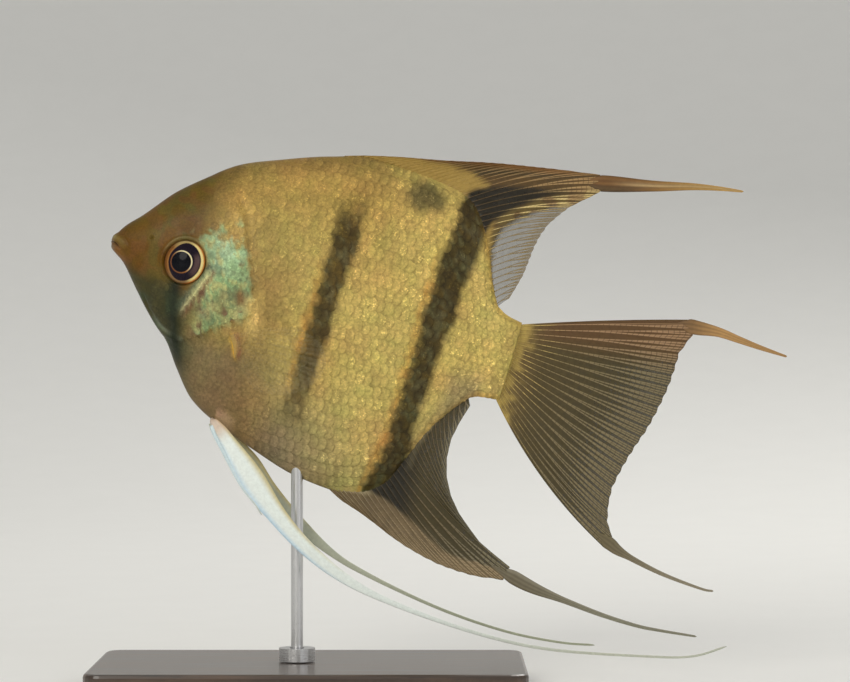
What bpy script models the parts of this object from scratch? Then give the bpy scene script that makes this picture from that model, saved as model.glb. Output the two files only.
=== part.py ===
"""Freshwater angelfish: a still, life-size model held by a plain display stand.

Metres, +Z up. The stand's underside lies at z = 0 with its centre at the origin, and the fish faces -X.
The fish is drawn level in its own frame, in fractions of its standard length: s runs from the snout to the
tail and h rises to the back, while y, in metres, crosses it. An empty tips it nose up above the stand.
"""

import math

import bmesh
import bpy
import numpy as np

# Driving dimensions.
STANDARD_LENGTH = 0.100
NOSE_UP = math.radians(17.0)
SNOUT_AT = (-0.0457, 0.0, 0.1048)
SEAM = 0.0003
CUT_REACH = 0.020

# Outline of the flesh, as (s, h): the back from lip to tail, and the belly under it.
BACK = (
    (0.000, 0.003), (0.019, 0.036), (0.049, 0.070), (0.109, 0.146), (0.170, 0.201), (0.232, 0.251),
    (0.314, 0.288), (0.428, 0.331), (0.526, 0.356), (0.636, 0.357), (0.720, 0.350), (0.775, 0.331),
    (0.808, 0.296), (0.845, 0.229), (0.877, 0.154), (0.905, 0.110), (0.934, 0.097), (0.963, 0.092),
)
BELLY = (
    (0.000, -0.009), (0.016, -0.029), (0.042, -0.050), (0.093, -0.105), (0.144, -0.155), (0.188, -0.195),
    (0.225, -0.244), (0.283, -0.307), (0.344, -0.339), (0.460, -0.378), (0.573, -0.407), (0.665, -0.413),
    (0.722, -0.403), (0.770, -0.368), (0.800, -0.298), (0.831, -0.219), (0.876, -0.145), (0.912, -0.108),
    (0.963, -0.100),
)
HALF_WIDTH = (
    (0.000, 0.016), (0.010, 0.028), (0.030, 0.038), (0.060, 0.048), (0.110, 0.063), (0.170, 0.076),
    (0.250, 0.085), (0.340, 0.090), (0.450, 0.088), (0.600, 0.077), (0.750, 0.058), (0.860, 0.040),
    (0.930, 0.028), (0.963, 0.023),
)
# Power of the cosine that shapes a section: 1 is an ellipse, and more pinches its top and bottom to keels.
PINCH = (
    (0.000, 0.90), (0.120, 1.00), (0.250, 1.15), (0.450, 1.35), (0.750, 1.50), (0.880, 1.30), (0.963, 1.00),
)
BODY_STATIONS = 40
BODY_SIDES = 28

# Where the flesh is parted, as (s, h).
GILL_SEAM = (
    (0.205, 0.300), (0.249, 0.193), (0.286, 0.126), (0.325, 0.041), (0.357, -0.041), (0.362, -0.081),
    (0.338, -0.098), (0.302, -0.121), (0.270, -0.153), (0.221, -0.182), (0.163, -0.176), (0.105, -0.185),
)
GILL_COVER = (
    (0.214, 0.036), (0.221, 0.077), (0.251, 0.106), (0.300, 0.118), (0.330, 0.060), (0.372, -0.030),
    (0.375, -0.090), (0.330, -0.092), (0.296, -0.112), (0.264, -0.142), (0.230, -0.162), (0.207, -0.152),
    (0.203, -0.128), (0.218, -0.075), (0.240, -0.025),
)
GILL_COVER_INNER = 0.0046
TAIL_SEAM = 0.865
MOUTH_CLEFT = ((-0.020, -0.009), (0.002, -0.011), (0.019, -0.022), (0.035, -0.037))
UPPER_LIP_EDGE = ((0.041, -0.030), (0.027, -0.006), (0.008, 0.010), (-0.020, 0.012))
JAW_EDGE = ((0.064, -0.050), (0.094, -0.082), (0.102, -0.140), (-0.020, -0.140))

# Eyes.
EYE_CENTRE = (0.172, -0.003)
EYE_RADIUS = 0.0049
EYE_HALF_DEPTH = 0.0036
EYE_OFFSET = 0.0052

# Fins: the root follows the outline between two stations, and the tips are (s, h).
FIN_ROOT_THICKNESS = 0.0014
FIN_TIP_THICKNESS = 0.0006
STREAMER_TIP_THICKNESS = 0.0005
DORSAL_ROOT = (0.528, 0.906)
DORSAL_TOP = ((0.580, 0.379), (0.684, 0.398), (0.800, 0.427), (0.941, 0.455))
DORSAL_TRAIL = ((0.993, 0.379), (0.956, 0.324), (0.941, 0.265), (0.936, 0.200), (0.920, 0.135))
DORSAL_STREAMER = ((1.050, 0.4535), (1.162, 0.4815), (1.250, 0.507), (1.314, 0.5215), (1.368, 0.531))
ANAL_ROOT = (0.630, 0.903)
ANAL_FRONT = ((0.690, -0.429), (0.751, -0.447), (0.844, -0.482), (0.947, -0.504), (1.033, -0.505))
ANAL_TRAIL = ((1.027, -0.431), (0.944, -0.366), (0.899, -0.295), (0.887, -0.214), (0.906, -0.130))
ANAL_STREAMER = (
    (1.106, -0.4785), (1.170, -0.491), (1.255, -0.4985), (1.341, -0.5045), (1.423, -0.505), (1.477, -0.500),
    (1.566, -0.488),
)
TAIL_ROOT = ((0.966, 0.084), (0.966, 0.040), (0.966, -0.040), (0.966, -0.092))
TAIL_TRAIL = (
    (1.335, 0.130), (1.334, 0.050), (1.318, -0.050), (1.294, -0.131), (1.277, -0.225), (1.290, -0.295),
)
TAIL_TOP_STREAMER = ((1.355, 0.197), (1.408, 0.202), (1.459, 0.199), (1.510, 0.196), (1.576, 0.194))
TAIL_BOTTOM_STREAMER = ((1.309, -0.341), (1.345, -0.354), (1.440, -0.372), (1.540, -0.379), (1.572, -0.376))
DORSAL_WIDTHS = ((0, 0.040), (0.35, 0.026), (1, 0.005))
ANAL_WIDTHS = ((0, 0.034), (0.30, 0.014), (1, 0.005))
TAIL_TOP_WIDTHS = ((0, 0.036), (0.30, 0.022), (1, 0.005))
TAIL_BOTTOM_WIDTHS = ((0, 0.032), (0.25, 0.014), (1, 0.005))

# Paired fins, as (s, h) or (s, h, distance out from the middle plane in fractions).
PECTORAL_ROOT = ((0.337, -0.132), (0.350, -0.155), (0.359, -0.180))
PECTORAL_TIPS = (
    (0.478, -0.070), (0.535, -0.088), (0.562, -0.125), (0.560, -0.168), (0.532, -0.205), (0.482, -0.232),
    (0.425, -0.238),
)
PECTORAL_ROOT_OUT = 0.094
PECTORAL_TIP_OUT = 0.148
LEFT_PELVIC = (
    (0.353, -0.340, 0.026), (0.425, -0.399, 0.040), (0.526, -0.480, 0.056), (0.636, -0.549, 0.068),
    (0.756, -0.595, 0.077), (0.888, -0.615, 0.082), (1.079, -0.622, 0.087), (1.244, -0.608, 0.091),
    (1.452, -0.560, 0.095), (1.557, -0.528, 0.097), (1.627, -0.482, 0.099),
)
RIGHT_PELVIC = (
    (0.353, -0.344, 0.026), (0.447, -0.412, 0.042), (0.568, -0.491, 0.056), (0.690, -0.552, 0.066),
    (0.799, -0.581, 0.072), (0.979, -0.607, 0.079), (1.141, -0.613, 0.083), (1.270, -0.601, 0.086),
    (1.353, -0.583, 0.088),
)
PELVIC_WIDTHS = (
    (0.00, 0.018), (0.04, 0.039), (0.12, 0.060), (0.19, 0.044), (0.30, 0.031), (0.42, 0.014), (0.60, 0.008),
    (1.00, 0.005),
)
PELVIC_PARTING = 0.40
PELVIC_GAP = 0.003
PELVIC_THICKNESS = 0.0009

# Display stand.
BASE_SIZE = (0.100, 0.056, 0.0065)
BASE_CORNER = 0.004
BASE_EDGE = 0.0008
ROD_X = -0.003
ROD_RADIUS = 0.0014
ROD_TOP = 0.0560
COLLAR_RADIUS = 0.0042
COLLAR_HEIGHT = 0.0030

# Colours, linear, and finishes.
FLESH = (0.33, 0.26, 0.13)
SNOUT = (0.30, 0.19, 0.09)
GILL = (0.34, 0.36, 0.22)
IRIS = (0.62, 0.50, 0.28)
RAYS = (0.30, 0.20, 0.10)
MEMBRANE = (0.22, 0.18, 0.12)
WHITE_RAY = (0.75, 0.78, 0.76)
CLEAR_FIN = (0.50, 0.46, 0.36)
DARK_WOOD = (0.035, 0.022, 0.015)
STEEL = (0.55, 0.55, 0.56)


def clear_scene():
    """Empties the scene, whatever it starts with."""
    for obj in list(bpy.data.objects):
        bpy.data.objects.remove(obj, do_unlink=True)


def material(name, colour, roughness, metallic=0.0):
    """A Principled material of one colour."""
    made = bpy.data.materials.new(name)
    made.use_nodes = True
    shader = made.node_tree.nodes["Principled BSDF"]
    shader.inputs["Base Color"].default_value = (*colour, 1.0)
    shader.inputs["Roughness"].default_value = roughness
    shader.inputs["Metallic"].default_value = metallic
    return made


def height_at(table, s):
    """Value of a table at each s, by cubic pieces that never overshoot the table's own points."""
    knots, values = np.array(table, float).T
    gaps = np.diff(knots)
    slopes = np.diff(values) / gaps
    tangents = np.concatenate([slopes[:1], np.zeros(len(slopes) - 1), slopes[-1:]])
    steady = slopes[:-1] * slopes[1:] > 0
    total = np.where(steady, slopes[:-1] + slopes[1:], 1.0)
    tangents[1:-1] = np.where(steady, 2 * slopes[:-1] * slopes[1:] / total, 0.0)
    place = np.clip(np.searchsorted(knots, s) - 1, 0, len(gaps) - 1)
    t = (np.asarray(s) - knots[place]) / gaps[place]
    rise = values[place + 1] - values[place]
    start = tangents[place] * gaps[place]
    end = tangents[place + 1] * gaps[place]
    return values[place] + t * start + t**2 * (3 * rise - 2 * start - end) + t**3 * (start + end - 2 * rise)


def smooth_through(points, count, span=(0.0, 1.0)):
    """Points along a smooth curve (Catmull-Rom) through the given ones, even by length over a span of it."""
    points = np.array(points, float)
    padded = np.vstack([2 * points[0] - points[1], points, 2 * points[-1] - points[-2]])
    t = np.linspace(0, 1, 12, endpoint=False)[:, None]
    spans = []
    for a, b, c, d in zip(padded, padded[1:], padded[2:], padded[3:]):
        square = 2 * a - 5 * b + 4 * c - d
        cube = 3 * b - a - 3 * c + d
        spans.append(0.5 * (2 * b + (c - a) * t + square * t**2 + cube * t**3))
    curve = np.vstack(spans + [points[-1:]])
    along = np.concatenate([[0], np.cumsum(np.linalg.norm(np.diff(curve, axis=0), axis=1))])
    wanted = np.linspace(*span, count) * along[-1]
    return np.column_stack([np.interp(wanted, along, column) for column in curve.T])


def shifted(points, distance):
    """A line in the (s, h) plane moved sideways, to its right when the distance is positive."""
    points = np.array(points, float)
    along = np.gradient(points, axis=0)
    along /= np.linalg.norm(along, axis=1)[:, None]
    return points + distance * np.column_stack([along[:, 1], -along[:, 0]])


def mesh_object(name, corners, faces, finish):
    """An object of the fish's frame from corners in metres, its faces turned outward."""
    mesh = bpy.data.meshes.new(name)
    mesh.from_pydata([tuple(corner) for corner in corners], [], faces)
    work = bmesh.new()
    work.from_mesh(mesh)
    bmesh.ops.recalc_face_normals(work, faces=work.faces)
    work.to_mesh(mesh)
    work.free()
    obj = bpy.data.objects.new(name, mesh)
    bpy.context.scene.collection.objects.link(obj)
    if finish:
        mesh.materials.append(finish)
    return obj


def in_fish(obj, pose):
    """Hangs an object on the empty that tips and lifts the fish."""
    obj.parent = pose
    return obj


def outline(points):
    """Corners (s, h), in metres."""
    return np.array(points, float) * STANDARD_LENGTH


def prism(name, corners, low, high, pose):
    """A hidden cutter: an outline in the (s, h) plane, in metres, drawn out across the fish."""
    count = len(corners)
    near = [(s, low, h) for s, h in corners]
    far = [(s, high, h) for s, h in corners]
    ring = [(i, (i + 1) % count, count + (i + 1) % count, count + i) for i in range(count)]
    cutter = mesh_object(name, near + far, ring + [tuple(range(count)), tuple(range(count, 2 * count))], None)
    cutter.hide_render = True
    cutter.display_type = "WIRE"
    return in_fish(cutter, pose)


def cut(obj, cutter, operation):
    """Adds an exact Boolean to an object."""
    step = obj.modifiers.new(f"{operation.lower()}_{cutter.name}", "BOOLEAN")
    step.operation = operation
    step.solver = "EXACT"
    step.object = cutter


def body_form():
    """Corners and faces of the whole flesh: a loft of pinched ellipses between back and belly."""
    ease = np.linspace(0, 1, BODY_STATIONS)
    s = BACK[-1][0] * (0.55 * ease + 0.45 * ease**1.9)
    top = height_at(BACK, s)
    bottom = height_at(BELLY, s)
    width = height_at(HALF_WIDTH, s)
    pinch = height_at(PINCH, s)
    turn = np.linspace(0, 2 * math.pi, BODY_SIDES, endpoint=False)
    side = np.sign(np.cos(turn)) * np.abs(np.cos(turn)) ** pinch[:, None]
    h = (top + bottom)[:, None] / 2 + (top - bottom)[:, None] / 2 * np.sin(turn)
    y = width[:, None] * side
    grid = np.stack([np.broadcast_to(s[:, None], h.shape), y, h], axis=-1) * STANDARD_LENGTH
    rings, sides = h.shape
    faces = []
    for i in range(rings - 1):
        for j in range(sides):
            k = (j + 1) % sides
            faces.append((i * sides + j, i * sides + k, (i + 1) * sides + k, (i + 1) * sides + j))
    faces.append(tuple(range(sides)))
    faces.append(tuple(range((rings - 1) * sides, rings * sides)))
    return grid.reshape(-1, 3), faces


def flesh_piece(name, form, finish, pose):
    """One piece of the flesh: the whole form, which its own cuts then trim."""
    return in_fish(mesh_object(name, *form, finish), pose)


def plate(name, grid, out, thickness, finish, pose):
    """A closed plate over a grid of (s, h) points, standing out by `out`, with a thickness at each point."""
    rows, columns = grid.shape[:2]
    near = np.stack([grid[..., 0], out - thickness / 2, grid[..., 1]], axis=-1).reshape(-1, 3)
    far = np.stack([grid[..., 0], out + thickness / 2, grid[..., 1]], axis=-1).reshape(-1, 3)
    count = rows * columns
    faces = []
    for i in range(rows - 1):
        for j in range(columns - 1):
            quad = (i * columns + j, i * columns + j + 1, (i + 1) * columns + j + 1, (i + 1) * columns + j)
            faces.append(quad)
            faces.append(tuple(count + corner for corner in reversed(quad)))
    rim = [j for j in range(columns)]
    rim += [i * columns + columns - 1 for i in range(1, rows)]
    rim += [(rows - 1) * columns + j for j in range(columns - 2, -1, -1)]
    rim += [i * columns for i in range(rows - 2, 0, -1)]
    for a, b in zip(rim, rim[1:] + rim[:1]):
        faces.append((b, a, count + a, count + b))
    return in_fish(mesh_object(name, np.vstack([near, far]), faces, finish), pose)


def ray_grid(roots, tips, bow, steps):
    """Grid of (s, h) points along rays from root to tip, each bowed to its right by a share of its length."""
    t = np.linspace(0, 1, steps)[None, :, None]
    chord = tips - roots
    aside = np.column_stack([chord[:, 1], -chord[:, 0]]) * np.asarray(bow)[:, None]
    return roots[:, None] + chord[:, None] * t + aside[:, None] * 4 * t * (1 - t)


def foot_of(line, width):
    """The two corners, in metres, where a fin ends just short of a streamer of that starting width."""
    start, after = np.array(line[:2], float)[:, :2] * STANDARD_LENGTH
    along = (after - start) / np.linalg.norm(after - start)
    start = start - along * SEAM * 1.4
    half = np.array((-along[1], along[0])) * width * STANDARD_LENGTH / 2
    return start + half, start - half


def rayed_fin(name, roots, tips, bow, steps, finish, pose):
    """A flat fin in the middle plane, thinning from its root to its tips."""
    grid = ray_grid(roots, tips, bow, steps)
    thickness = np.linspace(FIN_ROOT_THICKNESS, FIN_TIP_THICKNESS, steps)[None, :]
    thickness = np.broadcast_to(thickness, grid.shape[:2])
    return plate(name, grid, np.zeros(grid.shape[:2]), thickness, finish, pose)


def streamer(name, line, widths, span, count, thickness, finish, pose):
    """A long narrow plate over a span of a line of (s, h) or (s, h, out) points, its width from a table."""
    path = smooth_through(line, count, span)
    flat = path[:, :2] * STANDARD_LENGTH
    share = np.linspace(*span, count)
    half = height_at(widths, share) * STANDARD_LENGTH / 2
    upper = shifted(flat, -1.0) - flat
    grid = np.stack([flat + upper * half[:, None], flat - upper * half[:, None]], axis=1)
    out = path[:, 2] * STANDARD_LENGTH if path.shape[1] == 3 else np.zeros(count)
    deep = np.linspace(*thickness, count)
    shape = grid.shape[:2]
    out = np.broadcast_to(out[:, None], shape)
    deep = np.broadcast_to(deep[:, None], shape)
    return plate(name, grid, out, deep, finish, pose)


def root_along(table, ends, count, side):
    """Roots of a fin along the outline from one station to another, held clear of the flesh by the seam."""
    s = np.linspace(*ends, 40)
    line = smooth_through(np.column_stack([s, height_at(table, s)]), count)
    return shifted(line * STANDARD_LENGTH, side * SEAM * 1.3)


def make_eyes(pose):
    """Both eyes, and the hollow forms that clear their sockets."""
    sockets = []
    for side, sign in (("left", -1), ("right", 1)):
        for name, extra in ((f"eye_{side}", 0.0), (f"socket_{side}", SEAM)):
            mesh = bpy.data.meshes.new(name)
            ball = bmesh.new()
            bmesh.ops.create_uvsphere(ball, u_segments=20, v_segments=12, radius=1.0)
            ball.to_mesh(mesh)
            ball.free()
            obj = bpy.data.objects.new(name, mesh)
            bpy.context.scene.collection.objects.link(obj)
            place = outline([EYE_CENTRE])[0]
            obj.location = (place[0], sign * EYE_OFFSET, place[1])
            obj.rotation_euler = (math.radians(90), 0, 0)
            radius = EYE_RADIUS + extra
            obj.scale = (radius, radius, EYE_HALF_DEPTH + extra)
            in_fish(obj, pose)
            if extra:
                obj.hide_render = True
                obj.display_type = "WIRE"
                sockets.append(obj)
            else:
                mesh.materials.append(material(name, IRIS, 0.15))
    return sockets


def make_flesh(pose, sockets, rod_hole):
    """Head, lips, jaw, gill covers, trunk and tail base, parted from one form by thin cuts."""
    form = body_form()
    seam = smooth_through(outline(GILL_SEAM), 30)
    front = outline([(-0.05, -0.30), (-0.05, 0.40)])
    gap = SEAM / 2
    head_side = prism("cut_head", np.vstack([shifted(seam, gap), front]), -CUT_REACH, CUT_REACH, pose)
    trunk_side = prism("cut_trunk", np.vstack([shifted(seam, -gap), front]), -CUT_REACH, CUT_REACH, pose)
    cleft = smooth_through(outline(MOUTH_CLEFT), 8)
    lip_edge = smooth_through(outline(UPPER_LIP_EDGE), 8)
    jaw_edge = outline(JAW_EDGE)
    lip = prism("cut_lip", np.vstack([shifted(cleft, -gap), lip_edge]), -CUT_REACH, CUT_REACH, pose)
    jaw = prism("cut_jaw", np.vstack([shifted(cleft, gap), jaw_edge]), -CUT_REACH, CUT_REACH, pose)
    wide_lip = np.vstack([shifted(cleft, gap), outline([(0.040, -0.040)]), shifted(lip_edge, SEAM)])
    wide_jaw = np.vstack([shifted(cleft, -gap), shifted(jaw_edge, -SEAM)])
    mouth = [
        prism("clear_lip", wide_lip, -CUT_REACH, CUT_REACH, pose),
        prism("clear_jaw", wide_jaw, -CUT_REACH, CUT_REACH, pose),
    ]
    head = flesh_piece("head", form, material("head", SNOUT, 0.4), pose)
    cut(head, head_side, "INTERSECT")
    for name, cell in (("upper_lip", lip), ("lower_jaw", jaw)):
        cut(flesh_piece(name, form, material(name, SNOUT, 0.4), pose), cell, "INTERSECT")
    for cutter in mouth + sockets:
        cut(head, cutter, "DIFFERENCE")
    rim = smooth_through(outline(GILL_COVER + GILL_COVER[:1]), 31)[:-1]
    for side, sign in (("left", -1), ("right", 1)):
        low, high = sorted((sign * GILL_COVER_INNER, sign * CUT_REACH))
        plate_cell = prism(f"cut_gill_cover_{side}", rim, low, high, pose)
        low, high = sorted((sign * (GILL_COVER_INNER - SEAM), sign * CUT_REACH))
        clear_cell = prism(f"clear_gill_cover_{side}", shifted(rim, -SEAM), low, high, pose)
        cut(head, clear_cell, "DIFFERENCE")
        cover = flesh_piece(f"gill_cover_{side}", form, material(f"gill_cover_{side}", GILL, 0.35), pose)
        cut(cover, head_side, "INTERSECT")
        cut(cover, plate_cell, "INTERSECT")
    tail_line = outline([(TAIL_SEAM, -0.5), (TAIL_SEAM, 0.5)])
    behind = outline([(1.2, 0.5), (1.2, -0.5)])
    ahead = outline([(-0.05, 0.5), (-0.05, -0.5)])
    trunk = flesh_piece("trunk", form, material("trunk", FLESH, 0.4), pose)
    cut(trunk, trunk_side, "DIFFERENCE")
    cell = prism("cut_before_tail", np.vstack([tail_line - (gap, 0), ahead]), -CUT_REACH, CUT_REACH, pose)
    cut(trunk, cell, "INTERSECT")
    cut(trunk, rod_hole, "DIFFERENCE")
    tail_base = flesh_piece("tail_base", form, material("tail_base", FLESH, 0.4), pose)
    cell = prism("cut_tail_base", np.vstack([tail_line + (gap, 0), behind]), -CUT_REACH, CUT_REACH, pose)
    cut(tail_base, cell, "INTERSECT")


def make_middle_fins(pose):
    """Dorsal, anal and tail fins, each with its streamers as pieces of their own."""
    ends = (FIN_TIP_THICKNESS, STREAMER_TIP_THICKNESS)
    for name, colour, table, root, sign, leading, trailing, line, widths in (
        ("dorsal", RAYS, BACK, DORSAL_ROOT, -1, DORSAL_TOP, DORSAL_TRAIL, DORSAL_STREAMER, DORSAL_WIDTHS),
        ("anal", MEMBRANE, BELLY, ANAL_ROOT, 1, ANAL_FRONT, ANAL_TRAIL, ANAL_STREAMER, ANAL_WIDTHS),
    ):
        upper, lower = foot_of(line, widths[0][1])
        first, second = (upper, lower) if sign < 0 else (lower, upper)
        leading = np.vstack([smooth_through(leading, 9) * STANDARD_LENGTH, first])
        trailing = np.vstack([second, smooth_through(trailing, 9) * STANDARD_LENGTH])
        tips = np.vstack([leading, trailing])
        roots = root_along(table, root, len(tips), sign)
        bow = sign * np.linspace(0.02, 0.06, len(tips))
        rayed_fin(f"{name}_fin", roots, tips, bow, 6, material(f"{name}_fin", colour, 0.45), pose)
        finish = material(f"{name}_streamer", colour, 0.45)
        streamer(f"{name}_streamer", line, widths, (0, 1), 14, ends, finish, pose)
    upper = foot_of(TAIL_TOP_STREAMER, TAIL_TOP_WIDTHS[0][1])
    lower = foot_of(TAIL_BOTTOM_STREAMER, TAIL_BOTTOM_WIDTHS[0][1])
    tips = np.vstack([upper, smooth_through(TAIL_TRAIL, 12) * STANDARD_LENGTH, lower])
    roots = smooth_through(TAIL_ROOT, len(tips)) * STANDARD_LENGTH
    bow = np.linspace(-0.012, 0.06, len(tips))
    rayed_fin("tail_fin", roots, tips, bow, 7, material("tail_fin", RAYS, 0.45), pose)
    for place, line, widths in (
        ("upper", TAIL_TOP_STREAMER, TAIL_TOP_WIDTHS),
        ("lower", TAIL_BOTTOM_STREAMER, TAIL_BOTTOM_WIDTHS),
    ):
        name = f"tail_streamer_{place}"
        streamer(name, line, widths, (0, 1), 10, ends, material(name, RAYS, 0.45), pose)


def make_paired_fins(pose):
    """Pectoral fans held off the flanks, and pelvic blades with their long filaments."""
    for side, sign in (("left", -1), ("right", 1)):
        roots = smooth_through(PECTORAL_ROOT, 13) * STANDARD_LENGTH
        tips = smooth_through(PECTORAL_TIPS, 13) * STANDARD_LENGTH
        grid = ray_grid(roots, tips, np.linspace(-0.04, 0.04, 13), 6)
        out = np.linspace(PECTORAL_ROOT_OUT, PECTORAL_TIP_OUT, 6) * STANDARD_LENGTH * sign
        thickness = np.linspace(FIN_ROOT_THICKNESS, FIN_TIP_THICKNESS, 6)
        name = f"pectoral_fin_{side}"
        shape = grid.shape[:2]
        finish = material(name, CLEAR_FIN, 0.3)
        plate(name, grid, np.broadcast_to(out, shape), np.broadcast_to(thickness, shape), finish, pose)
    blade = (PELVIC_THICKNESS, FIN_TIP_THICKNESS)
    thread = (FIN_TIP_THICKNESS, STREAMER_TIP_THICKNESS)
    for side, sign, line in (("left", -1, LEFT_PELVIC), ("right", 1, RIGHT_PELVIC)):
        line = np.array(line) * (1, 1, sign)
        for part, span, count, ends in (
            ("fin", (0, PELVIC_PARTING), 20, blade),
            ("filament", (PELVIC_PARTING + PELVIC_GAP, 1), 24, thread),
        ):
            name = f"pelvic_{part}_{side}"
            streamer(name, line, PELVIC_WIDTHS, span, count, ends, material(name, WHITE_RAY, 0.35), pose)


def upright(name, radius, low, high, sides, finish=None):
    """An upright cylinder at the rod's place, between two heights above the floor; a cutter if unfinished."""
    mesh = bpy.data.meshes.new(name)
    form = bmesh.new()
    bmesh.ops.create_cone(
        form, cap_ends=True, segments=sides, radius1=radius, radius2=radius, depth=high - low
    )
    form.to_mesh(mesh)
    form.free()
    obj = bpy.data.objects.new(name, mesh)
    obj.location = (ROD_X, 0, (low + high) / 2)
    bpy.context.scene.collection.objects.link(obj)
    if finish:
        mesh.materials.append(finish)
    else:
        obj.hide_render = True
        obj.display_type = "WIRE"
    return obj


def make_base():
    """Flat base with round upright corners and a softened top edge."""
    height = BASE_SIZE[2]
    mesh = bpy.data.meshes.new("stand_base")
    slab = bmesh.new()
    bmesh.ops.create_cube(slab, size=1.0)
    bmesh.ops.scale(slab, verts=slab.verts, vec=BASE_SIZE)
    corners = [edge for edge in slab.edges if abs(edge.verts[0].co.z - edge.verts[1].co.z) > height / 2]
    bmesh.ops.bevel(slab, geom=corners, offset=BASE_CORNER, segments=5, affect="EDGES", profile=0.5)
    rim = [edge for edge in slab.edges if min(corner.co.z for corner in edge.verts) > height * 0.49]
    bmesh.ops.bevel(slab, geom=rim, offset=BASE_EDGE, segments=2, affect="EDGES", profile=0.5)
    slab.to_mesh(mesh)
    slab.free()
    base = bpy.data.objects.new("stand_base", mesh)
    base.location = (0, 0, height / 2)
    bpy.context.scene.collection.objects.link(base)
    mesh.materials.append(material("stand_base", DARK_WOOD, 0.35))


def make_stand():
    """Base, steel rod up into the belly and a collar at its foot. Returns the cutter of the rod's hole."""
    make_base()
    foot = BASE_SIZE[2] + SEAM
    clear = ROD_RADIUS + SEAM
    upright("stand_rod", ROD_RADIUS, foot, ROD_TOP, 20, material("stand_rod", STEEL, 0.25, 1.0))
    finish = material("stand_collar", STEEL, 0.3, 1.0)
    collar = upright("stand_collar", COLLAR_RADIUS, foot, foot + COLLAR_HEIGHT, 28, finish)
    cut(collar, upright("bore_collar", clear, 0.0, 2 * foot + COLLAR_HEIGHT, 20), "DIFFERENCE")
    return upright("bore_body", clear, foot, ROD_TOP + SEAM, 20)


def main():
    """Builds the stand, then the fish on its tipped empty."""
    clear_scene()
    pose = bpy.data.objects.new("fish_pose", None)
    pose.location = SNOUT_AT
    pose.rotation_euler = (0, NOSE_UP, 0)
    bpy.context.scene.collection.objects.link(pose)
    bpy.context.view_layer.update()
    rod_hole = make_stand()
    sockets = make_eyes(pose)
    make_flesh(pose, sockets, rod_hole)
    make_middle_fins(pose)
    make_paired_fins(pose)
    for obj in bpy.data.objects:
        if obj.type == "MESH" and not obj.hide_render:
            obj.data.shade_smooth()
            obj.data.set_sharp_from_angle(angle=math.radians(35))


main()
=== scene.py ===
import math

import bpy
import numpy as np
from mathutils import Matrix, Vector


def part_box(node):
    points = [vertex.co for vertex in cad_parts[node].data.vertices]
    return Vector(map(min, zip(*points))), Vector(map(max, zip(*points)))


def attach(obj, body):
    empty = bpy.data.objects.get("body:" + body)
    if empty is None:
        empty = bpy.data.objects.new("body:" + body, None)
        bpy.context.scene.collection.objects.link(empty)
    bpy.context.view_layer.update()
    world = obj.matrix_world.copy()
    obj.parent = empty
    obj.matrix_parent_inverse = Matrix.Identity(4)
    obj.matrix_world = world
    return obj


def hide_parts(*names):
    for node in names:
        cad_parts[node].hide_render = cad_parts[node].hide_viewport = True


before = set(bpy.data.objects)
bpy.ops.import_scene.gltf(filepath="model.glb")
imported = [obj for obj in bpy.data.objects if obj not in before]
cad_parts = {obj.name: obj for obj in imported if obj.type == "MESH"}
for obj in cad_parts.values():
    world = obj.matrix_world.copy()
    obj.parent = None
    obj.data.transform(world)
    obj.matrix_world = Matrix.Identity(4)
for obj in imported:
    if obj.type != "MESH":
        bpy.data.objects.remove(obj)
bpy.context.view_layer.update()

# Freshwater angelfish: the finished surface of a still, life-size model on its display stand.
#
# The fish is worked out level in its own frame, as shares of its standard length: s runs from the snout to the
# tail and h rises to the back, while y, in metres, crosses it. placed() turns it nose up and lifts it over the
# stand, as the solids are. The left flank is on the -Y side.

bl_info = {
    "name": "Freshwater angelfish",
    "version": (1, 0, 0),
    "blender": (4, 5, 0),
    "location": "3D View > Sidebar > Angelfish",
    "description": "Skin, scales, eyes, fins and stand finish of a life-size angelfish model",
    "category": "Object",
}

# The fish's own frame, as in the solids.
LENGTH = 0.100
NOSE_UP = math.radians(17.0)
SNOUT_AT = (-0.0457, 0.0, 0.1048)
MM = 0.001

# The flesh form's outline, as (s, h), its half width and the power that pinches its back and belly to keels.
BACK = (
    (0.000, 0.003), (0.019, 0.036), (0.049, 0.070), (0.109, 0.146), (0.170, 0.201), (0.232, 0.251),
    (0.314, 0.288), (0.428, 0.331), (0.526, 0.356), (0.636, 0.357), (0.720, 0.350), (0.775, 0.331),
    (0.808, 0.296), (0.845, 0.229), (0.877, 0.154), (0.905, 0.110), (0.934, 0.097), (0.963, 0.092),
)
BELLY = (
    (0.000, -0.009), (0.016, -0.029), (0.042, -0.050), (0.093, -0.105), (0.144, -0.155), (0.188, -0.195),
    (0.225, -0.244), (0.283, -0.307), (0.344, -0.339), (0.460, -0.378), (0.573, -0.407), (0.665, -0.413),
    (0.722, -0.403), (0.770, -0.368), (0.800, -0.298), (0.831, -0.219), (0.876, -0.145), (0.912, -0.108),
    (0.963, -0.100),
)
HALF_WIDTH = (
    (0.000, 0.016), (0.010, 0.028), (0.030, 0.038), (0.060, 0.048), (0.110, 0.063), (0.170, 0.076),
    (0.250, 0.085), (0.340, 0.090), (0.450, 0.088), (0.600, 0.077), (0.750, 0.058), (0.860, 0.040),
    (0.930, 0.028), (0.963, 0.023),
)
PINCH = (
    (0.000, 0.90), (0.120, 1.00), (0.250, 1.15), (0.450, 1.35), (0.750, 1.50), (0.880, 1.30), (0.963, 1.00),
)
SNOUT_ROUND = 0.010
TAIL_END = 0.966

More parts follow.
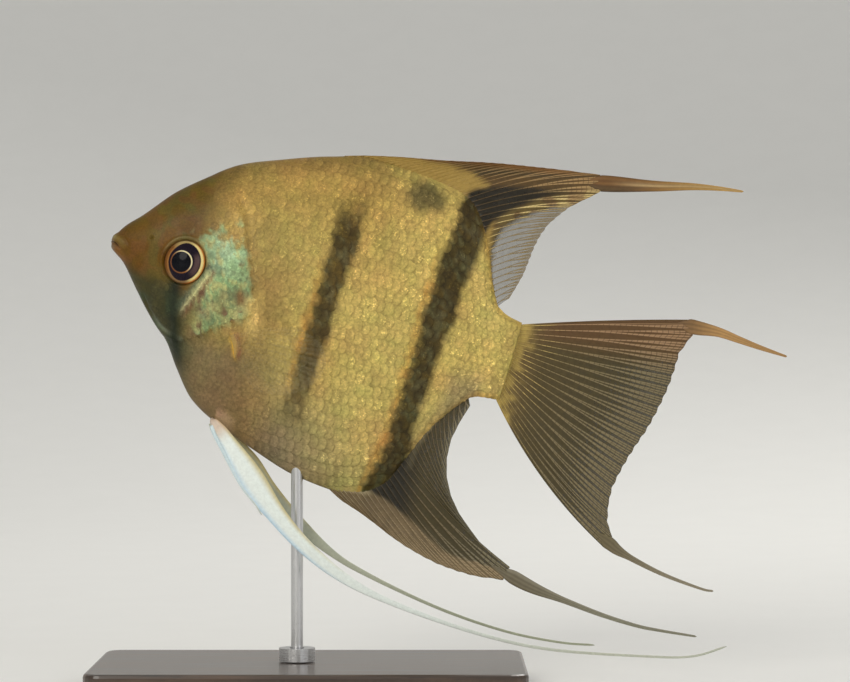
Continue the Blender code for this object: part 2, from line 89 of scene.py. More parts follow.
# Lines of the head, as (s, h).
GILL_EDGE = (
    (0.236, 0.215), (0.262, 0.165), (0.286, 0.126), (0.325, 0.041), (0.357, -0.041), (0.362, -0.081),
    (0.338, -0.098), (0.302, -0.121), (0.270, -0.153), (0.221, -0.182), (0.163, -0.179),
)
PREOPERCLE = (
    (0.2460, -0.012), (0.2270, -0.065), (0.2120, -0.102), (0.2040, -0.132), (0.2130, -0.160), (0.2400, -0.172),
)
CHEEK_FOLD = ((0.100, -0.094), (0.130, -0.131), (0.165, -0.161), (0.197, -0.172), (0.225, -0.176))
MOUTH_CLEFT = ((-0.012, -0.0072), (0.001, -0.0075), (0.015, -0.0110), (0.032, -0.0235))
UPPER_LIP = ((-0.010, 0.005), (0.006, 0.005), (0.023, -0.002), (0.040, -0.018))
LOWER_LIP = ((-0.006, -0.020), (0.008, -0.021), (0.022, -0.027), (0.037, -0.038))
NOSTRIL = (0.090, 0.027)
NAPE = 0.150

# Fins: the root follows the outline between two stations, and the margins are (s, h).
SEAM = 0.0003
DORSAL_ROOT = (0.450, 0.906)
DORSAL_TOP = (
    (0.459, 0.340), (0.492, 0.351), (0.537, 0.3635), (0.5815, 0.375), (0.638, 0.3875), (0.690, 0.399), (0.800, 0.427),
    (0.941, 0.455),
)
DORSAL_TRAIL = ((0.993, 0.379), (0.956, 0.324), (0.941, 0.265), (0.936, 0.200), (0.920, 0.135))
DORSAL_STREAMER = ((1.050, 0.4535), (1.162, 0.4815), (1.250, 0.507), (1.314, 0.5215), (1.368, 0.531))
ANAL_ROOT = (0.630, 0.903)
ANAL_FRONT = ((0.690, -0.429), (0.751, -0.447), (0.844, -0.482), (0.947, -0.504), (1.033, -0.505))
ANAL_TRAIL = ((1.027, -0.431), (0.944, -0.366), (0.899, -0.295), (0.887, -0.214), (0.906, -0.130))
ANAL_STREAMER = (
    (1.106, -0.4785), (1.170, -0.491), (1.255, -0.4985), (1.341, -0.5045), (1.423, -0.505), (1.477, -0.500),
    (1.566, -0.488),
)
TAIL_ROOT = ((0.966, 0.084), (0.966, 0.040), (0.966, -0.040), (0.966, -0.092))
TAIL_TRAIL = (
    (1.335, 0.130), (1.334, 0.050), (1.318, -0.050), (1.294, -0.131), (1.277, -0.225), (1.290, -0.295),
)
TAIL_TOP_STREAMER = ((1.355, 0.197), (1.408, 0.202), (1.459, 0.199), (1.510, 0.196), (1.576, 0.194))
TAIL_BOTTOM_STREAMER = ((1.309, -0.341), (1.345, -0.354), (1.440, -0.372), (1.540, -0.379), (1.572, -0.376))
# Widths of the streamers along their length.
DORSAL_WIDTHS = ((0, 0.040), (0.35, 0.026), (1, 0.005))
ANAL_WIDTHS = ((0, 0.034), (0.30, 0.014), (1, 0.005))
TAIL_TOP_WIDTHS = ((0, 0.036), (0.30, 0.022), (1, 0.005))
TAIL_BOTTOM_WIDTHS = ((0, 0.032), (0.25, 0.014), (1, 0.005))
PECTORAL_ROOT = ((0.337, -0.132), (0.350, -0.155), (0.359, -0.180))
PECTORAL_TIPS = (
    (0.478, -0.070), (0.535, -0.088), (0.562, -0.125), (0.560, -0.168), (0.532, -0.205), (0.482, -0.232),
    (0.425, -0.238),
)
PECTORAL_ROOT_OUT = 0.084
PECTORAL_TIP_OUT = 0.148
LEFT_PELVIC = (
    (0.353, -0.340, 0.026), (0.425, -0.399, 0.040), (0.526, -0.480, 0.056), (0.636, -0.549, 0.068),
    (0.756, -0.595, 0.077), (0.888, -0.615, 0.082), (1.079, -0.622, 0.087), (1.244, -0.608, 0.091),
    (1.452, -0.560, 0.095), (1.557, -0.528, 0.097), (1.627, -0.482, 0.099),
)
RIGHT_PELVIC = (
    (0.353, -0.344, 0.026), (0.447, -0.412, 0.042), (0.568, -0.491, 0.056), (0.690, -0.552, 0.066),
    (0.799, -0.581, 0.072), (0.979, -0.607, 0.079), (1.141, -0.613, 0.083), (1.270, -0.601, 0.086),
    (1.353, -0.583, 0.088),
)
# Lines of the fins' markings.
DORSAL_DASHES = (
    (0.823, 0.252), (0.827, 0.280), (0.844, 0.312), (0.881, 0.348), (0.931, 0.383), (0.984, 0.408), (1.044, 0.432),
)
DORSAL_DARK_TOP = (
    (0.700, 0.318), (0.756, 0.345), (0.780, 0.360), (0.846, 0.384), (0.925, 0.402), (0.993, 0.418), (1.050, 0.431),
)
ANAL_PALE = ((0.700, -0.370), (0.743, -0.385), (0.789, -0.393), (0.866, -0.428), (0.952, -0.468), (1.012, -0.472))
# Width of a pelvic blade and thread along its length.
PELVIC_WIDTHS = (
    (0.00, 0.018), (0.04, 0.039), (0.12, 0.060), (0.19, 0.044), (0.30, 0.031), (0.42, 0.014), (0.60, 0.008),
    (1.00, 0.005),
)


# ---------------------------------------------------------------- curves and surfaces


def placed(s, h, y):
    """World points of fish points: turned nose up about the crosswise axis, then lifted to the snout's place."""
    along, up = s * LENGTH, h * LENGTH
    x = along * math.cos(NOSE_UP) + up * math.sin(NOSE_UP) + SNOUT_AT[0]
    z = up * math.cos(NOSE_UP) - along * math.sin(NOSE_UP) + SNOUT_AT[2]
    return np.stack(np.broadcast_arrays(x, y, z), axis=-1)


def table_at(table, s):
    """Value of a table at each s, by cubic pieces that never overshoot the table's own points."""
    knots, values = np.array(table, float).T
    gaps = np.diff(knots)
    slopes = np.diff(values) / gaps
    tangents = np.concatenate([slopes[:1], np.zeros(len(slopes) - 1), slopes[-1:]])
    steady = slopes[:-1] * slopes[1:] > 0
    total = np.where(steady, slopes[:-1] + slopes[1:], 1.0)
    tangents[1:-1] = np.where(steady, 2 * slopes[:-1] * slopes[1:] / total, 0.0)
    s = np.clip(s, knots[0], knots[-1])
    span = np.clip(np.searchsorted(knots, s) - 1, 0, len(gaps) - 1)
    t = (s - knots[span]) / gaps[span]
    rise = values[span + 1] - values[span]
    start = tangents[span] * gaps[span]
    end = tangents[span + 1] * gaps[span]
    return values[span] + t * start + t**2 * (3 * rise - 2 * start - end) + t**3 * (start + end - 2 * rise)


def eased(x, low, high):
    """0 below low, 1 above high, and an S curve between them."""
    t = np.clip((x - low) / (high - low), 0, 1)
    return t * t * (3 - 2 * t)


def faded(x, low, high):
    """1 below low, 0 above high, and an S curve between them."""
    return 1 - eased(x, low, high)


def hump(x, width):
    """A bell of height 1 at x = 0."""
    return np.exp(-((x / width) ** 2))


def smooth_line(points, count, span=(0.0, 1.0)):
    """Points along a smooth curve (Catmull-Rom) through the given ones, even by length over a span of it."""
    points = np.array(points, float)
    padded = np.vstack([2 * points[0] - points[1], points, 2 * points[-1] - points[-2]])
    t = np.linspace(0, 1, 12, endpoint=False)[:, None]
    pieces = []
    for a, b, c, d in zip(padded, padded[1:], padded[2:], padded[3:]):
        square, cube = 2 * a - 5 * b + 4 * c - d, 3 * b - a - 3 * c + d
        pieces.append(0.5 * (2 * b + (c - a) * t + square * t**2 + cube * t**3))
    curve = np.vstack(pieces + [points[-1:]])
    along = np.concatenate([[0], np.cumsum(np.linalg.norm(np.diff(curve, axis=0), axis=1))])
    wanted = np.linspace(*span, count) * along[-1]
    return np.column_stack([np.interp(wanted, along, column) for column in curve.T])


def sideways(points):
    """Unit directions to the right of a line's run, at each of its points."""
    along = np.gradient(points, axis=0)
    along /= np.linalg.norm(along, axis=1)[:, None]
    return np.column_stack([along[:, 1], -along[:, 0]])


def beside(s, h, line):
    """Distance of each (s, h) from a smooth line, in millimetres, positive to the right of its run, and the share
    of the line's length at the nearest place."""
    knots = smooth_line(line, 40) * LENGTH / MM
    here = np.stack([s, h], axis=-1).reshape(-1, 1, 2) * LENGTH / MM
    start, run = knots[None, :-1], np.diff(knots, axis=0)[None]
    share = np.clip(((here - start) * run).sum(-1) / (run**2).sum(-1), 0, 1)
    away = here - start - share[..., None] * run
    far = (away**2).sum(-1)
    best = far.argmin(1)
    row = np.arange(len(best))
    cross = run[0, best, 0] * away[row, best, 1] - run[0, best, 1] * away[row, best, 0]
    signed = np.where(cross < 0, 1.0, -1.0) * np.sqrt(far[row, best])
    return signed.reshape(np.shape(s)), ((best + share[row, best]) / (len(knots) - 1)).reshape(np.shape(s))


def mottle(s, h, grain, seed):
    """Smooth blotches between 0 and 1: values at the corners of a square lattice of that grain, in mm, eased
    between them."""
    u, v = np.asarray(s) * 100 / grain + 200, np.asarray(h) * 100 / grain + 200
    rolls = np.random.default_rng(seed).random((256, 256))
    i, j = np.floor(u).astype(int), np.floor(v).astype(int)
    a, b = eased(u - i, 0, 1), eased(v - j, 0, 1)
    i0, j0, i1, j1 = i % 256, j % 256, (i + 1) % 256, (j + 1) % 256
    near = rolls[i0, j0] * (1 - a) + rolls[i1, j0] * a
    far = rolls[i0, j1] * (1 - a) + rolls[i1, j1] * a
    return near * (1 - b) + far * b


def cells(rows, columns, closed=False):
    """Corner numbers of a grid's quads, row by row; closed joins the last column to the first."""
    i = np.arange(rows - 1)[:, None]
    j = np.arange(columns if closed else columns - 1)[None, :]
    k = (j + 1) % columns
    corners = (i * columns + j, i * columns + k, (i + 1) * columns + k, (i + 1) * columns + j)
    return np.stack(np.broadcast_arrays(*corners), axis=-1).reshape(-1, 4)


def end_fans(rings, sides):
    """Triangles that close both ends of a grid of rings, each round one of the two points after the grid's own."""
    j = np.arange(sides)
    last = (rings - 1) * sides
    return np.vstack([
        np.stack([np.full(sides, rings * sides), (j + 1) % sides, j], axis=-1),
        np.stack([np.full(sides, rings * sides + 1), last + j, last + (j + 1) % sides], axis=-1),
    ])


def outward(points, quads, triangles):
    """The faces of a closed shape, all turned round if its volume counts as negative."""
    volume = 0.0
    for faces in (quads[:, :3], quads[:, [0, 2, 3]], triangles):
        a, b, c = (points[faces[:, k]] for k in range(3))
        volume += np.einsum("ij,ij->", a, np.cross(b, c))
    return (quads, triangles) if volume > 0 else (quads[:, ::-1], triangles[:, ::-1])


def linked(name, data):
    """A new object of the scene with this mesh, lamp or camera."""
    made = bpy.data.objects.new(name, data)
    bpy.context.scene.collection.objects.link(made)
    return made


def piece(name, points, quads, triangles=None, closed=True):
    """An object at the origin with this mesh, smooth shaded."""
    triangles = np.zeros((0, 3), int) if triangles is None else triangles
    if closed:
        quads, triangles = outward(points, quads, triangles)
    mesh = bpy.data.meshes.new(name)
    mesh.vertices.add(len(points))
    mesh.vertices.foreach_set("co", np.ascontiguousarray(points, np.float32).ravel())
    loops = np.concatenate([quads.ravel(), triangles.ravel()]).astype(np.int32)
    mesh.loops.add(len(loops))
    mesh.loops.foreach_set("vertex_index", loops)
    sizes = np.concatenate([np.full(len(quads), 4), np.full(len(triangles), 3)])
    mesh.polygons.add(len(sizes))
    mesh.polygons.foreach_set("loop_start", np.concatenate([[0], np.cumsum(sizes)[:-1]]).astype(np.int32))
    mesh.update(calc_edges=True)
    mesh.shade_smooth()
    return linked(name, mesh)


def give(made, name, values):
    """Stores one number, or one colour, at each corner point of a piece."""
    values = np.asarray(values, np.float32)
    if values.ndim == 1:
        made.data.attributes.new(name, "FLOAT", "POINT").data.foreach_set("value", values)
    else:
        full = np.column_stack([values, np.ones(len(values), np.float32)])
        made.data.attributes.new(name, "FLOAT_COLOR", "POINT").data.foreach_set("color", full.ravel())


def unwrap(made, uv, name="OFBake"):
    """Stores a map from one (u, v) for each point."""
    mesh = made.data
    corner = np.empty(len(mesh.loops), np.int32)
    mesh.loops.foreach_get("vertex_index", corner)
    mesh.uv_layers.new(name=name).data.foreach_set("uv", np.asarray(uv, np.float32)[corner].ravel())


def dressed(made, finish, slot, *nodes):
    """Paints a piece, lets it ride with the model and stand for its solids."""
    made.data.materials.append(finish)
    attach(made, "root")
    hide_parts(*nodes)
    return made


# ---------------------------------------------------------------- shaders


class Wire:
    """One socket of a material's nodes. An expression on values adds its Math nodes."""

    def __init__(self, paint, socket):
        self.paint = paint
        self.socket = socket

    def sum(self, operation, *others):
        """A Math node on this wire and others."""
        return self.paint.node("ShaderNodeMath", {"operation": operation}, dict(enumerate((self, *others))))

    def __add__(self, other):
        return self.sum("ADD", other)

    __radd__ = __add__

    def __sub__(self, other):
        return self.sum("SUBTRACT", other)

    def __rsub__(self, other):
        return self.paint.node("ShaderNodeMath", {"operation": "SUBTRACT"}, {0: other, 1: self})

    def __mul__(self, other):
        return self.sum("MULTIPLY", other)

    __rmul__ = __mul__

    def __truediv__(self, other):
        return self.sum("DIVIDE", other)

    def between(self, low, high):
        """0 at low, 1 at high, an S curve between them, held at its ends."""
        settings = {"interpolation_type": "SMOOTHSTEP"}
        return self.paint.node("ShaderNodeMapRange", settings, {0: self, 1: low, 2: high})


class Paint:
    """A material in the making, with one Principled shader."""

    def __init__(self, name):
        self.material = bpy.data.materials.new(name)
        self.material.use_nodes = True
        self.tree = self.material.node_tree
        self.shader = self.tree.nodes["Principled BSDF"]

    def put(self, socket, value):
        """Links a wire to a socket, or sets the socket to a number or colour."""
        if isinstance(value, Wire):
            self.tree.links.new(value.socket, socket)
        elif np.ndim(value) and socket.type == "RGBA":
            socket.default_value = (*tuple(value)[:3], 1.0)
        else:
            socket.default_value = value

    def node(self, kind, settings=None, sockets=None, out=0):
        """Any node: its settings first, then the values or wires of its sockets, by name or number."""
        made = self.tree.nodes.new(kind)
        for name, value in (settings or {}).items():
            setattr(made, name, value)
        for name, value in (sockets or {}).items():
            self.put(made.inputs[name], value)
        return Wire(self, made.outputs[out])

    def set(self, **sockets):
        """Sockets of the shader, by name with _ for a space."""
        for name, value in sockets.items():
            self.put(self.shader.inputs[name.replace("_", " ")], value)
        return self.material

    def place(self):
        """The object's own coordinates."""
        return self.node("ShaderNodeTexCoord", out="Object")

    def stored(self, name, colour=False):
        """A number or a colour kept in the mesh."""
        return self.node("ShaderNodeAttribute", {"attribute_name": name}, out="Color" if colour else "Fac")

    def noise(self, grain, detail=3.0, stretch=None):
        """Noise between 0 and 1 with this grain, in metres."""
        where = self.place()
        if stretch:
            where = self.node("ShaderNodeMapping", {}, {"Vector": where, "Scale": stretch})
        return self.node(
            "ShaderNodeTexNoise", {}, {"Vector": where, "Scale": 1 / grain, "Detail": detail, "Roughness": 0.55}
        )

    def mix(self, first, second, share):
        """One colour laid over another by a share."""
        return self.node("ShaderNodeMix", {"data_type": "RGBA"}, {0: share, 6: first, 7: second}, out=2)

    def brighter(self, colour, share):
        """A colour times a number."""
        return self.node("ShaderNodeVectorMath", {"operation": "SCALE"}, {"Vector": colour, "Scale": share})

    def bump(self, height, depth, strength):
        """Small relief from a height between 0 and 1, that many metres deep."""
        return self.node("ShaderNodeBump", {}, {"Height": height, "Distance": depth, "Strength": strength})


# ---------------------------------------------------------------- flesh form


def form_at(s):
    """(middle height, half height, half width, pinch) of the flesh form at s, all but the last as shares."""
    top, bottom = table_at(BACK, s), table_at(BELLY, s)
    return (top + bottom) / 2, (top - bottom) / 2, table_at(HALF_WIDTH, s), table_at(PINCH, s)


def flank_out(s, h):
    """Distance from the middle plane to the flesh form, in metres: half width times cosine to the pinch power."""
    middle, half, width, pinch = form_at(s)
    q = np.clip((h - middle) / half, -0.9995, 0.9995)
    return LENGTH * width * (1 - q * q) ** (pinch / 2)


def eye_place(side):
    """(s, h) and distance out of the eye solid's middle, from its box."""
    low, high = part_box(f"eye_{side}")
    x, y, z = (np.array(low) + np.array(high)) / 2 - np.array(SNOUT_AT)
    s = (x * math.cos(NOSE_UP) - z * math.sin(NOSE_UP)) / LENGTH
    h = (x * math.sin(NOSE_UP) + z * math.cos(NOSE_UP)) / LENGTH
    return s, h, abs(y)


EYE_S, EYE_H, EYE_OUT = eye_place("left")
# The eye surface sits a little behind and below its solid's middle, and is a little taller than long.
EYE_S, EYE_H = EYE_S + 0.0088, EYE_H - 0.0016
EYE_TALL = 1.06
HEAD_LINE = ((0.196, 0.300), (0.212, 0.262)) + GILL_EDGE


def level(s, h):
    """(forward, up) of a fish point with the nose turned up, as shares of the length."""
    return s * math.cos(NOSE_UP) + h * math.sin(NOSE_UP), h * math.cos(NOSE_UP) - s * math.sin(NOSE_UP)


def from_eye(s, h):
    """Distance from the eye's middle, in millimetres."""
    return np.hypot(s - EYE_S, (h - EYE_H) / EYE_TALL) * LENGTH / MM


def dots(s, h, places, width):
    """Bells of height 1 round some (s, h), their width in millimetres."""
    total = np.zeros(np.shape(s))
    for a, b in places:
        total = total + hump(np.hypot(s - a, h - b) * LENGTH / MM, width)
    return total


def bed(s, h, depth):
    """How deep the skin lies under the flesh form: nearly flush on the head, and by the coat's depth behind it."""
    ahead, _ = beside(s, h, HEAD_LINE)
    return depth * (0.25 + 0.75 * eased(-ahead, np.where(h > NAPE, -4.5, -0.5), 1.5))


# Plates of the head: the line, where along it the plate rises and dies away, its height, its step and how far it runs
# out, and the depth, place and width of the groove behind it. All but the shares of the line in millimetres.
PLATES = (
    (GILL_EDGE, (0.02, 0.2), (0.88, 1.0), 0.34, (-0.14, 0.14), 2.6, 0.42, 0.40, 0.42),
    (PREOPERCLE, (0.0, 0.12), (0.85, 1.0), 0.22, (-0.30, 0.25), 1.5, 0.20, 0.55, 0.50),
)
PORES = (
    (0.060, -0.020), (0.088, -0.036), (0.112, -0.056), (0.135, -0.074), (0.160, -0.084), (0.062, 0.046),
    (0.100, 0.088), (0.150, 0.100), (0.222, -0.048), (0.212, -0.085), (0.203, -0.120), (0.209, -0.150),
)


def relief(s, h):
    """How far the skin stands out of the flesh form at (s, h), in metres: steps at the gill cover and preopercle,
    folds round the mouth and eye, pits of the nostril and pores, and a slow unevenness of the muscle."""
    out = 0.10 * (mottle(s, h, 8.0, 5) - 0.5)
    for line, begins, ends, height, step, run_out, groove, place, width in PLATES:
        off, share = beside(s, h, line)
        plate = height * eased(off, *step) * np.exp(-np.maximum(off, 0) / run_out) - groove * hump(off + place, width)
        out += eased(share, *begins) * faded(share, *ends) * plate
    fold, share = beside(s, h, CHEEK_FOLD)
    out += eased(share, 0.0, 0.15) * faded(share, 0.85, 1.0) * (0.14 * hump(fold - 0.55, 0.5) - 0.20 * hump(fold, 0.28))
    for line, rise, width, side in ((UPPER_LIP, 0.26, 0.80, -1), (LOWER_LIP, 0.28, 0.75, 1)):
        lip, share = beside(s, h, line)
        out += rise * hump(lip, width) * faded(share, 0.7, 1.0) * (0.4 + 0.6 * eased(s, 0.001, 0.010))
        out -= 0.16 * hump(side * lip - 1.15, 0.35) * faded(share, 0.75, 1.0) * eased(s, 0.006, 0.016)
    cleft, share = beside(s, h, MOUTH_CLEFT)
    out -= (0.14 + 0.30 * eased(s, 0.002, 0.012)) * hump(cleft, 0.18) * faded(share, 0.70, 1.0)
    hole = np.hypot(s - NOSTRIL[0], h - NOSTRIL[1]) * LENGTH / MM
    out += 0.05 * hump(hole - 0.70, 0.30) - 0.42 * hump(hole, 0.34)
    out -= 0.06 * dots(s, h, PORES, 0.30)
    eye = from_eye(s, h)
    out += 0.26 * hump(eye - 5.35, 0.42) - 0.50 * hump(eye - 4.92, 0.20) - 3.4 * faded(eye, 4.35, 4.95)
    arm, share = beside(s, h, PECTORAL_ROOT)
    out += 0.75 * hump(arm, 0.75) * eased(share, -0.2, 0.1) * faded(share, 0.9, 1.2)
    return out * MM


def lip_reach(s, h):
    """How far forward the tips of both lips stand of the rounded snout, in metres: a bell for each lip."""
    upper = 0.38 * hump(h - 0.004, 0.0110) * faded(s, 0.004, 0.018)
    lower = 0.42 * hump(h + 0.0205, 0.0125) * faded(s, 0.010, 0.032)
    return (upper + lower) * MM


# ---------------------------------------------------------------- markings


def over(first, second, share):
    """One colour laid over another by a share at each point."""
    share = np.clip(share, 0, 1)[..., None]
    return first * (1 - share) + np.asarray(second) * share


def layered(colour, *coats):
    """A colour under coats laid over it in turn, each a colour and its share at each point."""
    for tone, share in coats:
        colour = over(colour, tone, share)
    return colour


def blended(first, second, share):
    """One colour that gives way to another by a share, for whole arrays."""
    return over(np.broadcast_to(np.array(first, float), (*np.shape(share), 3)), second, share)


# Front and rear edge of the main bar, as (h, s).
BAR_FRONT = (
    (-0.430, 0.732), (-0.359, 0.736), (-0.295, 0.7485), (-0.185, 0.7534), (-0.065, 0.7530), (0.078, 0.7500),
    (0.138, 0.7500), (0.197, 0.7500), (0.264, 0.7600), (0.319, 0.7560), (0.380, 0.7540),
)
BAR_REAR = (
    (-0.430, 0.828), (-0.381, 0.818), (-0.336, 0.809), (-0.243, 0.800), (-0.172, 0.797), (-0.061, 0.804),
    (0.011, 0.806), (0.120, 0.809), (0.182, 0.814), (0.286, 0.820), (0.380, 0.840),
)


# Line of the bar through the eye, as (h, s), and stations of the other bars and the blotch.
EYE_BAR_LINE = ((-0.26, 0.240), (-0.17, 0.205), (-0.08, 0.178), (0.0, 0.172), (0.10, 0.186), (0.26, 0.232))
SECOND_BAR = 0.5170
BLOTCH = (0.666, 0.304)
TAIL_ROOT_BAR = 0.956


def bars(s, h):
    """Dark share of the upright bars, of their fainter company, and of the golden rims before them."""
    ragged = 0.010 * (mottle(s, h, 1.9, 11) - 0.5) + 0.006 * (mottle(s, h, 0.9, 12) - 0.5)
    front, rear = table_at(BAR_FRONT, h), table_at(BAR_REAR, h)
    front, rear = front - 0.008, rear + 0.004 + 0.006 * eased(h, -0.05, 0.05)
    main = eased(s + ragged, front - 0.006, front + 0.006) * faded(s + ragged, rear - 0.012, rear + 0.006)
    middle = SECOND_BAR + 0.004 * eased(h, 0.2, -0.1)
    wide = 0.0300 - 0.0060 * eased(-h, -0.10, -0.02)
    second = faded(np.abs(s + ragged - middle), wide - 0.006, wide + 0.007)
    second *= faded(h, 0.17, 0.285) * (1 - eased(-h, 0.15, 0.30) * (0.25 + 0.75 * mottle(s, h, 1.7, 13)))
    second *= faded(-h, 0.26, 0.32)
    blot = faded(np.hypot((s - BLOTCH[0]) / 1.20, h - BLOTCH[1]) + 1.4 * ragged, 0.022, 0.056)
    eye_line = table_at(EYE_BAR_LINE, h)
    first = hump((s - eye_line) * 100, 1.75) * np.where(h < EYE_H, 0.93, 0.10) * faded(-h, 0.21, 0.27)
    root = hump((s - TAIL_ROOT_BAR) * 100, 1.9) * 0.34
    rims = hump((s + ragged - front + 0.008) * 100, 0.75) * eased(-h, -0.25, -0.10)
    before = hump((s + ragged - middle + wide + 0.007) * 100, 0.75)
    rims += before * eased(-h, -0.12, 0.0) * faded(-h, 0.16, 0.24)
    return main, second, blot, first, root, rims


# Colours of single marks.
KEEL_GOLD = (0.62, 0.36, 0.07)
FACE_OLIVE, FACE_RUST, CHEEK_GREEN = (0.125, 0.094, 0.018), (0.160, 0.068, 0.016), (0.046, 0.060, 0.028)
UPPER_LIP_BROWN, UPPER_LIP_PALE = (0.215, 0.135, 0.034), (0.29, 0.235, 0.115)
LOWER_LIP_BROWN, LOWER_LIP_PALE = (0.215, 0.100, 0.024), (0.26, 0.225, 0.145)
# Painted shade of the mouth's cleft, and the pale of the cheek fold.
CLEFT_SHADE, FOLD_PALE = (0.045, 0.026, 0.012), (0.30, 0.32, 0.22)
COVER_TAN, COVER_BROWN, COVER_GREEN = (0.25, 0.215, 0.085), (0.19, 0.105, 0.055), (0.085, 0.105, 0.055)
COVER_GOLD, COVER_SHADE, COVER_REAR = (0.44, 0.39, 0.15), (0.13, 0.18, 0.09), (0.70, 0.50, 0.16)
PLATE_GREEN, PLATE_EDGE, PLATE_GROOVE = (0.10, 0.15, 0.10), (0.68, 0.62, 0.30), (0.20, 0.085, 0.04)
EYE_FOLD = (0.33, 0.27, 0.11)
BAR_RIM, BAR_OLIVE, TAIL_ROOT_BROWN = (0.50, 0.24, 0.040), (0.085, 0.080, 0.034), (0.22, 0.12, 0.035)
PELVIC_BASE, PECTORAL_BASE, PECTORAL_AXIL = (0.62, 0.40, 0.24), (0.80, 0.46, 0.05), (0.30, 0.06, 0.05)
# Freckles of the gill cover: colour, strength, places and width in millimetres.
FRECKLES = (
    ((0.20, 0.085, 0.025), 0.75, ((0.3255, -0.036), (0.3300, -0.052)), 1.1),
    ((0.13, 0.075, 0.05), 0.7, ((0.308, 0.028), (0.247, -0.095)), 0.7),
    ((0.17, 0.10, 0.06), 0.55, ((0.261, -0.107),), 1.3),
)
# Slow and quick drifts of colour over the whole fish, as shares of red, green and blue.
ROSY_DRIFT = (0.06, -0.03, -0.02)
OLIVE_DRIFT = (-0.06, 0.005, -0.05)


def face_tone(s, h, tones):
    """Brown-orange snout under a browner forehead, with an olive cheek."""
    cheek = h + 0.10 * s
    return layered(
        blended(tones.snout, tones.forehead, eased(h - 0.5 * s, -0.02, 0.05)),
        (FACE_OLIVE, 0.75 * eased(mottle(s, h, 2.6, 24), 0.48, 0.70) * eased(s, 0.05, 0.12)),
        (FACE_RUST, 0.60 * eased(mottle(s, h, 1.9, 25), 0.55, 0.75)),
        (tones.cheek, faded(cheek, -0.070, -0.028)),
        (CHEEK_GREEN, 0.7 * eased(mottle(s, h, 2.2, 26), 0.45, 0.7) * faded(cheek, -0.090, -0.050)),
    )


def with_mouth(colour, s, h):
    """Pale lips with brown corners, painted shade along the cleft between them and the fold of the cheek."""
    upper, upper_share = beside(s, h, UPPER_LIP)
    lower, lower_share = beside(s, h, LOWER_LIP)
    cleft, cleft_share = beside(s, h, MOUTH_CLEFT)
    fold, fold_share = beside(s, h, CHEEK_FOLD)
    corner = eased(lower_share, 0.35, 0.55) * faded(lower_share, 0.9, 1.2)
    return layered(
        colour,
        (UPPER_LIP_BROWN, 0.75 * hump(upper, 0.75) * faded(upper_share, 0.7, 1.0)),
        (UPPER_LIP_PALE, 0.80 * hump(upper, 0.7) * faded(s, 0.006, 0.016)),
        (LOWER_LIP_BROWN, 0.8 * hump(lower, 0.9) * corner),
        (LOWER_LIP_PALE, 0.75 * hump(lower, 0.7) * faded(s, 0.010, 0.022)),
        # Painted shade along the cleft between the lips.
        (CLEFT_SHADE, 0.80 * hump(cleft, 0.17) * faded(cleft_share, 0.50, 0.90)),
        (FOLD_PALE, 0.55 * hump(fold, 0.40) * eased(fold_share, 0.35, 0.6)),
    )


def cover_tone(s, h, ahead, up, tones):
    """Turquoise patch and spots of the gill cover on a dull ground, and the three mottles they are drawn with."""
    blotches, fine, large = mottle(s, h, 1.5, 21), mottle(s, h, 0.75, 22), mottle(s, h, 2.4, 23)
    dull = layered(
        blended(COVER_TAN, COVER_BROWN, eased(large, 0.46, 0.62)),
        (COVER_GREEN, 0.8 * eased(blotches * 0.5 + fine * 0.5, 0.54, 0.64)),
    )
    bright = hump(np.hypot(ahead - 0.262, up + 0.040) * 100, 4.4) * (0.35 + 0.95 * blotches)
    jade = layered(
        blended(tones.gill, tones.gill_bright, bright),
        (COVER_GOLD, 0.85 * eased(blotches * 0.5 + fine * 0.5, 0.50, 0.62)),
        (COVER_SHADE, 0.80 * faded(fine * 0.6 + large * 0.4, 0.32, 0.45) * faded(up, -0.10, 0.02)),
    )
    patch = eased(up + 0.05 * (large - 0.5), -0.160, -0.125) * eased(ahead + 0.03 * (blotches - 0.5), 0.208, 0.232)
    patch *= 1 - 0.55 * eased(ahead + 0.030 * (fine - 0.5), 0.308, 0.330) * eased(blotches, 0.45, 0.65)
    spots = 0.85 * eased(blotches * 0.65 + fine * 0.35, 0.47, 0.56) * eased(up, -0.245, -0.205)
    return over(dull, jade, np.maximum(patch * (0.80 + 0.3 * blotches), spots)), blotches, fine, large


